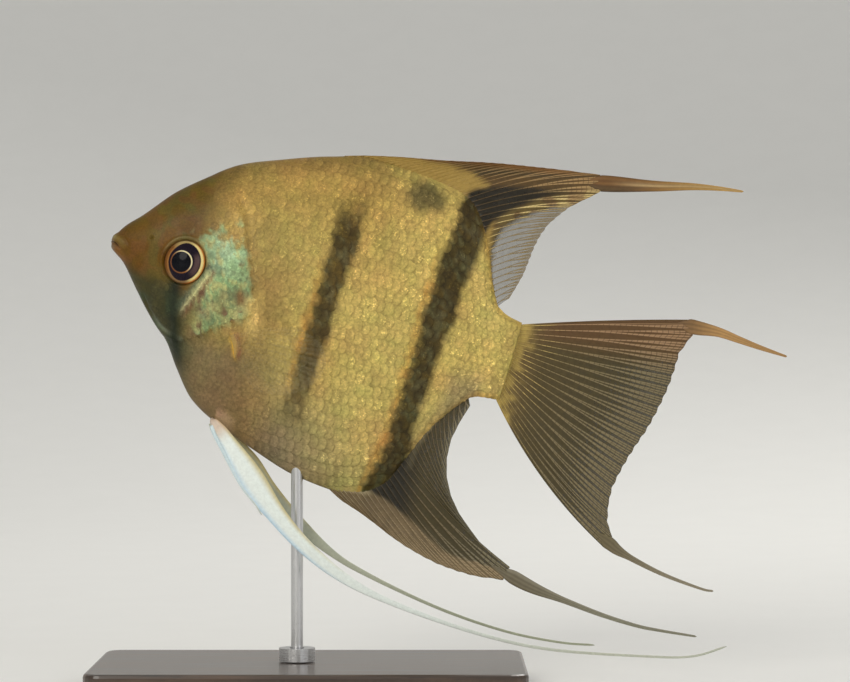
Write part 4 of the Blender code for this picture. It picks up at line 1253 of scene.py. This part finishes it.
def tail_fin_edges(rays):
    """Roots and tips of the tail fin."""
    upper = foot_of(TAIL_TOP_STREAMER, TAIL_TOP_WIDTHS[0][1])
    lower = foot_of(TAIL_BOTTOM_STREAMER, TAIL_BOTTOM_WIDTHS[0][1])
    tips = np.vstack([upper, smooth_line(TAIL_TRAIL, 12) * LENGTH, lower])
    foot = smooth_line(TAIL_ROOT, len(tips)) * LENGTH
    return ray_lines(foot, tips, np.linspace(-0.012, 0.06, len(tips)), None, rays)


# Points across each ray and along it, how deep the margin is notched and how far the membrane ripples, in metres.
PER_RAY = 8
RAY_STEPS = 44
NOTCH = 0.00024
RIPPLE = 0.00010
# Where the rays of a fin without spines begin to part: in the middle of the first one.
NO_SPINES = 0.5
# Soft rays part in two over this share of their length, by this share of a ray's room to either side.
PARTS_FROM = (0.38, 0.85)
RAY_PARTING = 0.22


def ray_profile(r, t, spines):
    """Height of the fin rays across the fin, 0 to 1: one ridge in the middle of each ray's share, which parts in
    two towards the margin on the soft rays behind the spines."""
    across = r - np.floor(r) - 0.5
    parting = RAY_PARTING * eased(t, *PARTS_FROM) * (r > spines)
    return np.maximum(hump(across - parting, 0.13), hump(across + parting, 0.13))


def rim_of(rows, columns):
    """Corner numbers round a grid's edge, in order."""
    j, i = np.arange(columns), np.arange(rows)
    return np.concatenate([j, i[1:] * columns + columns - 1, (rows - 1) * columns + j[-2::-1], i[-2:0:-1] * columns])


def rayed_sheet(name, lines, rays, spines, sizes, out=None, flesh=0.0010, ridge=0.00050, reach_in=0.0016, tuck=True):
    """A fin as one closed sheet: a grid of rays from root to tip, each bowed aside by a share of its length, with a
    membrane between ridges that thin and part towards a margin notched between the rays.

    Returns the piece with the (s, h), ray number and share from root to tip of its points on both faces.
    """
    roots, tips, bow, inward = lines
    columns = columns_of(rays)
    r = np.linspace(0, rays, columns)[:, None]
    t = np.linspace(0, 1, RAY_STEPS)[None, :]
    chord = tips - roots
    length = np.linalg.norm(chord, axis=1, keepdims=True)
    inner = roots + (-chord / length if inward is None else inward) * reach_in
    across = np.cos(2 * math.pi * r)
    edge = tips - chord / length * NOTCH * (0.5 + 0.5 * across) * np.clip(length / 0.01, 0.2, 1)
    aside = np.column_stack([chord[:, 1], -chord[:, 0]]) * bow[:, None]
    grid = inner[:, None] + (edge - inner)[:, None] * t[..., None] + aside[:, None] * (4 * t * (1 - t))[..., None]
    height = ray_profile(r, t, spines)
    strong = np.where(r < spines, 1.45, 1.0) * ridge * (1 - 0.72 * t)
    rooted = t * (length + reach_in) - reach_in
    tucked = 0.30 + 0.70 * eased(rooted, -reach_in, -0.15 * reach_in) if tuck else 1
    thick = sizes.membrane + (strong * height + flesh * faded(t, 0.0, 0.16)) * tucked
    thick = thick * (0.35 + 0.65 * faded(t, 0.985, 1.0))
    ripple = RIPPLE * np.sin(2 * math.pi * r) * eased(t, 0.2, 0.6)
    base = np.zeros(t.shape) if out is None else out(t)
    base = np.broadcast_to(base, height.shape) + ripple
    faces = [placed(grid[..., 0] / LENGTH, grid[..., 1] / LENGTH, base + k * thick / 2).reshape(-1, 3) for k in (-1, 1)]
    count = columns * RAY_STEPS
    one = cells(columns, RAY_STEPS)
    rim = rim_of(columns, RAY_STEPS)
    after = np.roll(rim, -1)
    wall = np.stack([after, rim, count + rim, count + after], axis=-1)
    made = piece(name, np.vstack(faces), np.vstack([one, one[:, ::-1] + count, wall]))
    s, h = (np.tile(grid[..., k].ravel() / LENGTH, 2) for k in range(2))
    r, t = (np.tile(np.broadcast_to(v, height.shape).ravel(), 2) for v in (r, t))
    unwrap(made, np.column_stack([r, t]), "Rays")
    return made, s, h, r, t


def fin_finish(name, spines, joints=26.0, bare=0.30, wet=0.08):
    """Fin tissue: opaque jointed rays that part towards the margin, over a membrane that lets some light through."""
    paint = Paint(name)
    made = paint.node("ShaderNodeUVMap", {"uv_map": "Rays"})
    parts = paint.node("ShaderNodeSeparateXYZ", {}, {0: made})
    u, v = parts, Wire(paint, parts.socket.node.outputs[1])
    number = u.sum("FLOOR")
    across = u.sum("FRACT") - 0.5
    soft = u.between(spines - 0.01, spines + 0.01)
    parting = v.between(*PARTS_FROM) * soft * RAY_PARTING
    again = v.between(0.66, 1.0) * soft * 0.11
    nearest = ((across.sum("ABSOLUTE") - parting).sum("ABSOLUTE") - again).sum("ABSOLUTE")
    ray = 1 - nearest.between(0.03, 0.10)
    joint = (v * joints + number * 0.37).sum("FRACT")
    seam = (1 - joint.between(0.10, 0.22)) * v.between(0.12, 0.2) * soft
    veins = paint.noise(0.0009, 3.0)
    fine = paint.noise(0.00025, 2.0)
    web, bone = paint.stored("web", colour=True), paint.stored("bone", colour=True)
    web = paint.brighter(web, 0.82 + 0.36 * veins)
    bone = paint.brighter(bone, (0.88 + 0.24 * fine) * (1 - 0.45 * seam))
    cover = paint.stored("cover")
    alpha = cover * (0.93 + 0.14 * veins.between(0.3, 0.7))
    alpha = (alpha + ray * (1 - 0.35 * seam) * (1.0 - bare)).sum("MINIMUM", 1.0)
    return paint.set(
        Base_Color=paint.mix(web, bone, ray), Alpha=alpha, Roughness=0.34 + 0.12 * veins,
        Normal=paint.bump(fine * 0.4 + ray * 0.6, 0.00007, 0.6), Coat_Weight=wet, Coat_Roughness=0.18,
        Specular_IOR_Level=0.25,
    )


def dress_fin(made, web, bone, cover, finish, slot, node):
    """Stores a fin's two colours and how opaque its membrane is, and dresses it."""
    give(made, "web", web)
    give(made, "bone", bone)
    give(made, "cover", np.clip(cover, 0, 1))
    dressed(made, finish, slot, node)


def ribbon(line, widths, stations, depth, sides=20, ridges=3):
    """Points of a long flat tapering ray bundle: an oval section with ridges, carried along a smooth line, its width
    from a table and its depth tapering between two values. Rounded off at its far end."""
    path = smooth_line(line, stations)
    flat = path[:, :2] * LENGTH
    out = path[:, 2] * LENGTH if path.shape[1] == 3 else np.zeros(stations)
    share = np.linspace(0, 1, stations)
    end = np.sqrt(np.clip((1 - share) / 0.012, 0.0, 1.0))
    half = table_at(widths, share) * LENGTH / 2 * end
    deep = np.linspace(*depth, stations) / 2 * end * (0.2 + 0.8 * eased(share, 0.0, 0.13))
    turn = np.linspace(0, 2 * math.pi, sides, endpoint=False)
    across = np.cos(turn)
    rise = np.sin(turn) * (1 + 0.30 * np.cos(across * math.pi * ridges)) / 1.3
    up = -sideways(flat)
    spot = flat[:, None] + up[:, None] * (half[:, None] * across)[..., None]
    y = out[:, None] + deep[:, None] * rise
    points = placed(spot[..., 0] / LENGTH, spot[..., 1] / LENGTH, y)
    return points, *np.broadcast_arrays(share[:, None], across[None, :])


def tubes(name, parts):
    """One piece from ring grids, each closed at both ends by a fan round its end ring's middle."""
    points, quads, fans, start = [], [], [], 0
    for grid in parts:
        rings, sides = grid.shape[:2]
        flat = np.vstack([grid.reshape(-1, 3), grid[0].mean(0), grid[-1].mean(0)])
        quad, fan = outward(flat, cells(rings, sides, closed=True), end_fans(rings, sides))
        points.append(flat)
        quads.append(quad + start)
        fans.append(fan + start)
        start += len(flat)
    return piece(name, np.vstack(points), np.vstack(quads), np.vstack(fans))


def ends_too(values):
    """Values of a ring grid's points, with those of its two end middles after them."""
    flat = values.reshape(-1, *values.shape[2:])
    return np.concatenate([flat, flat[:1], flat[-1:]])


def streamer_finish(name):
    """Long bundled rays: colour kept in the mesh, faint joints and lengthwise grooves."""
    paint = Paint(name)
    colour = paint.stored("bone", colour=True)
    grain = paint.noise(0.0007, 3.0)
    fine = paint.noise(0.0002, 2.0)
    return paint.set(
        Base_Color=paint.brighter(colour, 0.84 + 0.32 * grain), Roughness=0.32 + 0.14 * fine,
        Normal=paint.bump(fine, 0.00006, 0.5), Coat_Weight=0.12, Coat_Roughness=0.16, Specular_IOR_Level=0.3,
    )


# How far back inside its fin a streamer starts, as a share of the length, its depth at both ends in metres, and how it
# widens over its first stretch.
STREAMER_STARTS_BACK = 0.045
STREAMER_DEPTH = (0.0008, 0.0005)
STREAMER_STARTS = ((0, 0.12), (0.06, 0.62), (0.12, 0.96))


def add_streamer(name, line, widths, colour, node):
    """A streamer that begins inside its fin, so that the two read as one. Its width grows out of the fin over its
    first stretch, by shares of its starting width, and then follows its own table."""
    first, after = np.array(line[0]), np.array(line[1])
    back = first - (after - first) / np.linalg.norm(after - first) * STREAMER_STARTS_BACK
    table = [(share, widths[0][1] * part) for share, part in STREAMER_STARTS]
    table += [(0.12 + 0.88 * share, width) for share, width in widths[1:]]
    points, share, across = ribbon(np.vstack([back, line]), table, 90, STREAMER_DEPTH)
    made = tubes(name, [points])
    # Painted light and shade along the ridges: lighter lines on their crests and darker between them, fainter towards
    # the tip.
    lines = 0.78 + 0.44 * (0.5 + 0.5 * np.cos(across * math.pi * 3)) * (1 - 0.5 * eased(share, 0.3, 0.8))
    give(made, "bone", ends_too(colour(share, across) * lines[..., None]))
    dressed(made, streamer_finish(name), "fin", node)


class MakeMiddleFins(Build, bpy.types.Operator):
    """Dorsal, anal and tail fins with their streamers"""

    bl_idname = "angelfish.make_middle_fins"
    bl_label = "Middle fins"

    def execute(self, context):
        self.dorsal()
        self.anal()
        self.tail()
        return {"FINISHED"}

    def dorsal(self):
        rays, spines = 42, 17
        lines = edged_fin(BACK, DORSAL_ROOT, -1, DORSAL_TOP, DORSAL_TRAIL, DORSAL_STREAMER, DORSAL_WIDTHS, rays)
        made, s, h, r, t = rayed_sheet("dorsal_sail", lines, rays, spines, self.sizes)
        front, rear = table_at(BAR_FRONT, h), table_at(BAR_REAR, h)
        below, _ = beside(s, h, DORSAL_DASHES)
        under, _ = beside(s, h, DORSAL_DARK_TOP)
        cloud = mottle(s, h, 1.8, 41)
        dark = eased(s, front - 0.01, front + 0.01) * faded(s, rear + 0.06, rear + 0.20) * eased(under, -0.8, 0.8)
        dark = dark * faded(below, -0.6, 0.8)
        rim = eased(t, 0.62, 0.95) * faded(r, 20, 25)
        dash = eased(cloud, 0.40, 0.58) * hump(below - 1.3, 1.7) * eased(s, 0.82, 0.85)
        lobe = eased(below, 1.4, 3.6)
        streak = 0.5 + 0.5 * np.sin(7.3 * r + 2.0 * np.sin(1.9 * r))
        near = faded(s + 0.05 * (cloud - 0.5) + 0.03 * (streak - 0.5), 0.56, 0.88)
        body = faded(t, 0.03 + 0.60 * near, 0.16 + 1.20 * near) * (1 - dark)
        flesh = np.array(self.tones.upper_flank)
        bone = layered(
            blended((0.30, 0.18, 0.070), (0.42, 0.27, 0.115), eased(t, 0.2, 0.8)),
            ((0.30, 0.22, 0.10), lobe),
            ((0.24, 0.105, 0.026), rim),
            ((0.78, 0.60, 0.25), dash),
            ((0.055, 0.038, 0.016), dark * 0.80),
            (flesh * 1.10, 0.85 * body),
        )
        web = layered(
            blended((0.175, 0.108, 0.036), (0.105, 0.060, 0.018), eased(r, 9, 17)),
            ((0.050, 0.040, 0.018), 0.75 * hump(under + 3.4, 0.7) * eased(s, 0.70, 0.76)),
            (self.tones.membrane, lobe),
            ((0.155, 0.072, 0.018), rim),
            ((0.16, 0.12, 0.035), dash * 0.6),
            ((0.013, 0.011, 0.006), dark * 0.95),
            (flesh * 0.9, body),
        )
        cover = 0.97 - 0.05 * eased(r, 16, 22) - 0.62 * lobe + 0.25 * dash
        cover = np.maximum(cover, dark * 0.97) + body
        dress_fin(made, web, bone, cover, fin_finish("dorsal_fin_tissue", spines), "fin", "dorsal_fin")

        def colour(share, across):
            return layered(
                blended((0.17, 0.080, 0.022), (0.52, 0.31, 0.085), eased(share, 0.25, 0.95)),
                ((0.50, 0.35, 0.17), hump(across - 0.1, 0.30) * eased(share, 0.12, 0.4) * 0.75),
                ((0.070, 0.045, 0.018), faded(across, -0.7, 0.1) * faded(share, 0.2, 0.5) * 0.8),
            )

        add_streamer("dorsal_plume", DORSAL_STREAMER, DORSAL_WIDTHS, colour, "dorsal_streamer")

    def anal(self):
        rays, spines = 31, 6
        lines = edged_fin(BELLY, ANAL_ROOT, 1, ANAL_FRONT, ANAL_TRAIL, ANAL_STREAMER, ANAL_WIDTHS, rays)
        made, s, h, r, t = rayed_sheet("anal_sail", lines, rays, spines, self.sizes)
        front, rear = table_at(BAR_FRONT, h), table_at(BAR_REAR, h)
        cloud = mottle(s, h, 1.6, 42)
        pale = eased(beside(s, h, ANAL_PALE)[0], -0.4, 0.9)
        dark = eased(s, front - 0.012, front + 0.012) * faded(s, rear - 0.01, rear + 0.05) * faded(-h, 0.405, 0.470)
        dark = dark * (1 - 0.8 * pale)
        body = faded(t + 0.05 * (cloud - 0.5), 0.02, 0.12) * (1 - dark)
        flesh = np.array(self.tones.belly)
        bone = layered(
            blended((0.19, 0.135, 0.070), (0.22, 0.19, 0.12), eased(t, 0.3, 0.9)),
            ((0.36, 0.27, 0.155), pale),
            ((0.50, 0.43, 0.27), 0.7 * eased(mottle(s, h, 1.0, 44), 0.50, 0.66) * faded(s, 0.70, 0.80)),
            ((0.050, 0.036, 0.015), dark * 0.85),
            (flesh * 1.25, body),
        )
        web = layered(
            blended((0.062, 0.044, 0.020), self.tones.membrane, eased(r, 6, 16)),
            ((0.20, 0.14, 0.070), pale * (0.55 + 0.45 * cloud)),
            ((0.016, 0.013, 0.007), dark * 0.95),
            (flesh * 1.15, body),
        )
        cover = 0.96 - 0.08 * eased(r, 12, 22) - 0.14 * eased(t, 0.5, 1.0) * eased(r, 10, 18)
        cover = np.maximum(cover, dark * 0.97) + body
        dress_fin(made, web, bone, cover, fin_finish("anal_fin_tissue", spines), "fin", "anal_fin")

        def colour(share, across):
            shade = blended((0.16, 0.135, 0.085), (0.26, 0.25, 0.18), eased(share, 0.1, 0.7))
            return over(shade, (0.30, 0.27, 0.20), eased(across, 0.2, 0.9) * 0.5)

        add_streamer("anal_plume", ANAL_STREAMER, ANAL_WIDTHS, colour, "anal_streamer")

    def tail(self):
        rays = 22
        made, s, h, r, t = rayed_sheet(
            "tail_sail", tail_fin_edges(rays), rays, NO_SPINES, self.sizes, flesh=0.0030, reach_in=0.0050, tuck=False)
        top = faded(r, 1.5, 5.5)
        cloud = mottle(s, h, 1.4, 43)
        foot = faded(s, 1.000, 1.085)
        body = faded(s + 0.040 * (cloud - 0.5), 0.968, 1.004)
        flesh = np.array(self.tones.flank)
        bone = layered(
            blended((0.24, 0.18, 0.080), (0.22, 0.175, 0.095), eased(t, 0.2, 0.9)),
            ((0.36, 0.22, 0.115), top),
            ((0.74, 0.54, 0.18), foot * (0.15 + 0.80 * eased(cloud, 0.44, 0.62))),
            (flesh * 0.98, body),
        )
        web = layered(
            blended((0.085, 0.060, 0.020), self.tones.membrane, eased(t, 0.2, 0.9)),
            ((0.115, 0.060, 0.022), top),
            ((0.135, 0.088, 0.030), faded(s, 0.985, 1.050)),
            (flesh * (0.82, 0.78, 0.74), body),
        )
        cover = 0.96 - 0.05 * eased(t, 0.2, 0.6) - 0.16 * eased(t, 0.60, 1.0) + 0.30 * top + body
        finish = fin_finish("tail_fin_tissue", NO_SPINES, joints=34.0)
        dress_fin(made, web, bone, cover, finish, "fin", "tail_fin")
        for end, line, widths, first, second, span in (
            ("upper", TAIL_TOP_STREAMER, TAIL_TOP_WIDTHS, (0.155, 0.085, 0.034), (0.44, 0.25, 0.09), (0.0, 0.45)),
            ("lower", TAIL_BOTTOM_STREAMER, TAIL_BOTTOM_WIDTHS, (0.14, 0.112, 0.058), (0.30, 0.26, 0.18), (0.05, 0.8)),
        ):
            def colour(share, across, first=first, second=second, span=span):
                return blended(first, second, eased(share, *span))

            add_streamer(f"tail_plume_{end}", line, widths, colour, f"tail_streamer_{end}")


PELVIC_START = (0.346, -0.331, 0.012)
PELVIC_START_WIDTHS = ((0.0, 0.008), (0.012, 0.018), (0.030, 0.032))
PELVIC_SPINE_SPAN = (0.015, 0.185)
PELVIC_SPINE_WIDTHS = ((0, 0.0095), (0.5, 0.0085), (1, 0.003))
# Thread, blue edge and spine of the near pelvic fin, and the first two of the far one, painted duller and darker as
# shade.
PELVIC_NEAR = ((0.58, 0.60, 0.50), (0.52, 0.68, 0.80), (0.62, 0.74, 0.78))
PELVIC_FAR_SHADED = ((0.40, 0.42, 0.30), (0.36, 0.42, 0.36))
# White of the far pelvic fin and its spine, painted darker as shade.
FAR_WHITE_SHADED = (0.50, 0.52, 0.40)


class MakePairedFins(Build, bpy.types.Operator):
    """Clear pectoral fans, and pelvic blades that run out into long threads"""

    bl_idname = "angelfish.make_paired_fins"
    bl_label = "Paired fins"

    def execute(self, context):
        for side, sign, line in (("left", -1, LEFT_PELVIC), ("right", 1, RIGHT_PELVIC)):
            self.pectoral(side, sign)
            self.pelvic(side, sign, line)
        return {"FINISHED"}

    def pectoral(self, side, sign):
        rays = 12
        count = columns_of(rays)
        roots = refined(smooth_line(PECTORAL_ROOT, 13) * LENGTH, count)
        tips = refined(smooth_line(PECTORAL_TIPS, 13) * LENGTH, count)

        def out(t):
            return sign * LENGTH * (PECTORAL_ROOT_OUT + (PECTORAL_TIP_OUT - PECTORAL_ROOT_OUT) * t)

        made, _, _, _, t = rayed_sheet(
            f"pectoral_fan_{side}", (roots, tips, np.linspace(-0.04, 0.04, count), None), rays, NO_SPINES, self.sizes,
            out, flesh=0.0009, ridge=0.00030, reach_in=0.0006)
        bone = blended((0.62, 0.42, 0.16), (0.46, 0.38, 0.20), eased(t, 0.1, 0.4))
        web = blended((0.55, 0.38, 0.12), (0.42, 0.35, 0.19), eased(t, 0.02, 0.2))
        cover = 0.028 + 0.7 * faded(t, 0.02, 0.10)
        finish = fin_finish(f"pectoral_tissue_{side}", NO_SPINES, joints=18.0, bare=0.95, wet=0.02)
        dress_fin(made, web, bone, cover, finish, "clear_fin", f"pectoral_fin_{side}")

    def pelvic(self, side, sign, line):
        """Blade and thread as one ridged ribbon, with the spine lying along the blade's front edge."""
        line = np.vstack([PELVIC_START, line]) * (1, 1, sign)
        widths = PELVIC_START_WIDTHS + tuple((0.012 + 0.988 * share, width) for share, width in PELVIC_WIDTHS[1:])
        points, share, across = ribbon(line, widths, 260, (0.00088, 0.0005), sides=28, ridges=5)
        edge = smooth_line(line, 50, PELVIC_SPINE_SPAN)
        half = table_at(widths, np.linspace(*PELVIC_SPINE_SPAN, 50)) / 2
        reach = half * 0.90 + 0.006 * eased(np.linspace(0, 1, 50), 0.86, 1.0)
        spine = np.column_stack([edge[:, :2] + sideways(edge[:, :2]) * reach[:, None], edge[:, 2]])
        thorn, thorn_share, _ = ribbon(spine, PELVIC_SPINE_WIDTHS, 60, (0.00085, 0.0004), sides=14, ridges=0)
        made = tubes(f"pelvic_plume_{side}", [points, thorn])
        # The far pelvic fin is painted darker and duller than the near one, as shade.
        white = self.tones.white_ray if side == "left" else FAR_WHITE_SHADED
        thread, blue, thorn_tone = (PELVIC_NEAR if side == "left" else (*PELVIC_FAR_SHADED, white))
        colour = layered(
            blended(white, thread, eased(share, 0.45, 0.8)),
            (blue, eased(-across, 0.35, 0.95) * faded(share, 0.25, 0.4)),
            ((0.60, 0.50, 0.22), eased(across, 0.45, 0.95) * faded(share, 0.20, 0.38) * 0.85),
            ((0.55, 0.34, 0.20), faded(share, 0.02, 0.055) * 0.7),
        )
        tint = blended(thorn_tone, (0.55, 0.50, 0.36), eased(thorn_share, 0.6, 1.0) * 0.5)
        give(made, "bone", np.concatenate([ends_too(colour), ends_too(tint)]))
        dressed(made, streamer_finish(f"pelvic_tissue_{side}"), "white_fin", f"pelvic_fin_{side}",
                f"pelvic_filament_{side}")


# ---------------------------------------------------------------- stand and stage


class DressStand(Build, bpy.types.Operator):
    """Lacquered dark wood for the base and brushed steel for the rod and its collar"""

    bl_idname = "angelfish.dress_stand"
    bl_label = "Stand"

    def execute(self, context):
        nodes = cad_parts
        for name, finish in (("stand_base", self.wood()), ("stand_rod", self.steel("rod_steel", (1.0, 1.0, 0.04))),
                             ("stand_collar", self.steel("collar_steel", (0.04, 0.04, 1.0)))):
            nodes[name].data.materials[0] = finish
        return {"FINISHED"}

    def wood(self):
        paint = Paint("stand_wood")
        streaks = paint.noise(0.0022, 5.0, stretch=(0.07, 1.0, 1.0))
        pores = paint.noise(0.0005, 2.0, stretch=(0.05, 1.0, 1.0))
        colour = paint.mix(self.tones.wood, np.array(self.tones.wood) * 2.6, streaks.between(0.35, 0.75))
        colour = paint.mix(colour, (0.010, 0.006, 0.004), 0.6 * pores.between(0.58, 0.72))
        return paint.set(Base_Color=colour, Roughness=0.32 + 0.16 * streaks, Normal=paint.bump(pores, 0.00006, 0.5),
                         Coat_Weight=0.5, Coat_Roughness=0.12)

    def steel(self, name, stretch):
        paint = Paint(name)
        lines = paint.noise(0.00018, 3.0, stretch=stretch)
        return paint.set(Base_Color=(0.58, 0.58, 0.59), Metallic=1.0, Roughness=0.20 + 0.18 * lines,
                         Normal=paint.bump(lines, 0.00002, 0.4))


# The flat floor and the sweep that turns up from it, in metres.
FLOOR_RADIUS = 0.6
SWEEP_RADIUS = 1.5


def bowl_profile():
    """Radius and height of the backdrop: a flat floor that turns up along a quarter circle into a wall."""
    turn = np.linspace(0, math.pi / 2, 24)
    radius = np.concatenate([np.linspace(0.02, FLOOR_RADIUS, 12), FLOOR_RADIUS + SWEEP_RADIUS * np.sin(turn)[1:]])
    height = np.concatenate([np.zeros(12), SWEEP_RADIUS * (1 - np.cos(turn))[1:]])
    return radius, height


STUDIO_LIGHT = (1.0, 0.99, 0.97, 1.0)
STUDIO_STRENGTH = 0.43
LAMPS_AIM = (0.01, 0.0, 0.08)
# Soft lamps: name, place, size, power and tint.
LAMPS = (
    ("key", (-0.45, -0.95, 0.62), 0.60, 4.8, (1.0, 0.97, 0.90)),
    ("fill", (0.85, -0.80, 0.35), 0.70, 1.7, (0.95, 0.97, 1.0)),
    ("rim", (0.35, 0.70, 0.75), 0.50, 3.0, (1.0, 0.98, 0.94)),
)
# The camera: sensor width and lens in millimetres, and its place behind and under the snout, in metres.
SENSOR, LENS = 36.0, 127.8
CAMERA_BEHIND, CAMERA_UNDER = 0.07238, 0.02387


class MakeStage(Build, bpy.types.Operator):
    """Pale floor and wall in one sweep, soft lamps and the camera"""

    bl_idname = "angelfish.make_stage"
    bl_label = "Stage"

    def execute(self, context):
        radius, height = bowl_profile()
        turn = np.linspace(0, 2 * math.pi, 96, endpoint=False)
        x, y = radius[:, None] * np.cos(turn), radius[:, None] * np.sin(turn)
        points = np.stack(np.broadcast_arrays(x, y, height[:, None]), axis=-1).reshape(-1, 3)
        points = np.vstack([points, (0, 0, 0)])
        rings, sides = x.shape
        j = np.arange(sides)
        fan = np.stack([np.full(sides, rings * sides), j, (j + 1) % sides], axis=-1)
        quads = cells(rings, sides, closed=True)
        floor = piece("floor", points, quads[:, ::-1], fan, closed=False)
        paint = Paint("floor_paper")
        grain = paint.noise(0.02, 3.0)
        floor.data.materials.append(paint.set(
            Base_Color=paint.brighter(self.tones.floor, 0.985 + 0.03 * grain),
            Roughness=0.9, Specular_IOR_Level=0.2))
        self.lamps()
        self.camera()
        return {"FINISHED"}

    def lamps(self):
        world = bpy.data.worlds.new("studio")
        bpy.context.scene.world = world
        world.use_nodes = True
        background = world.node_tree.nodes["Background"].inputs
        background["Color"].default_value = STUDIO_LIGHT
        background["Strength"].default_value = STUDIO_STRENGTH
        for name, place, size, power, tint in LAMPS:
            lamp = bpy.data.lights.new(name, "AREA")
            lamp.shape = "DISK"
            lamp.size = size
            lamp.energy = power
            lamp.color = tint
            made = linked(name, lamp)
            made.location = place
            made.rotation_euler = turned_to(np.array(LAMPS_AIM) - np.array(place))

    def camera(self):
        """Level camera square to the left flank, placed from the snout."""
        lens = bpy.data.cameras.new("camera")
        lens.sensor_width = SENSOR
        lens.lens = LENS
        lens.clip_start, lens.clip_end = 0.01, 20.0
        made = linked("camera", lens)
        made.location = (SNOUT_AT[0] + CAMERA_BEHIND, -self.sizes.camera_distance, SNOUT_AT[2] - CAMERA_UNDER)
        made.rotation_euler = (math.pi / 2, 0, 0)
        bpy.context.scene.camera = made
        bpy.context.scene.view_settings.view_transform = "Standard"


def turned_to(aim):
    """Euler angles that point a lamp's -Z along a direction."""
    return Vector(aim).to_track_quat("-Z", "Y").to_euler()


# ---------------------------------------------------------------- add-on


OPERATORS = (MakeStage, MakeSkin, MakeScales, MakeEyes, MakeMiddleFins, MakePairedFins, DressStand)


class AngelfishPanel(bpy.types.Panel):
    """Lists the pieces of the angelfish"""

    bl_idname = "VIEW3D_PT_angelfish"
    bl_label = "Angelfish"
    bl_space_type = "VIEW_3D"
    bl_region_type = "UI"
    bl_category = "Angelfish"

    def draw(self, context):
        for operator in OPERATORS:
            self.layout.operator(operator.bl_idname, text=operator.bl_label)
        for group in (context.scene.angelfish_sizes, context.scene.angelfish_colours):
            for name in group.__annotations__:
                self.layout.prop(group, name)


CLASSES = (AngelfishSizes, AngelfishColours, *OPERATORS, AngelfishPanel)


def register():
    for kind in CLASSES:
        bpy.utils.register_class(kind)
    bpy.types.Scene.angelfish_sizes = bpy.props.PointerProperty(type=AngelfishSizes)
    bpy.types.Scene.angelfish_colours = bpy.props.PointerProperty(type=AngelfishColours)


def unregister():
    del bpy.types.Scene.angelfish_sizes
    del bpy.types.Scene.angelfish_colours
    for kind in reversed(CLASSES):
        bpy.utils.unregister_class(kind)


def main():
    """Clears what the scene starts with and runs the operators in order."""
    for name in ("Cube", "Light", "Camera"):
        if name in bpy.data.objects:
            bpy.data.objects.remove(bpy.data.objects[name])
    register()
    bpy.ops.angelfish.make_stage()
    bpy.ops.angelfish.make_skin()
    bpy.ops.angelfish.make_scales()
    bpy.ops.angelfish.make_eyes()
    bpy.ops.angelfish.make_middle_fins()
    bpy.ops.angelfish.make_paired_fins()
    bpy.ops.angelfish.dress_stand()
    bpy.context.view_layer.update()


if __name__ == "__main__":
    main()
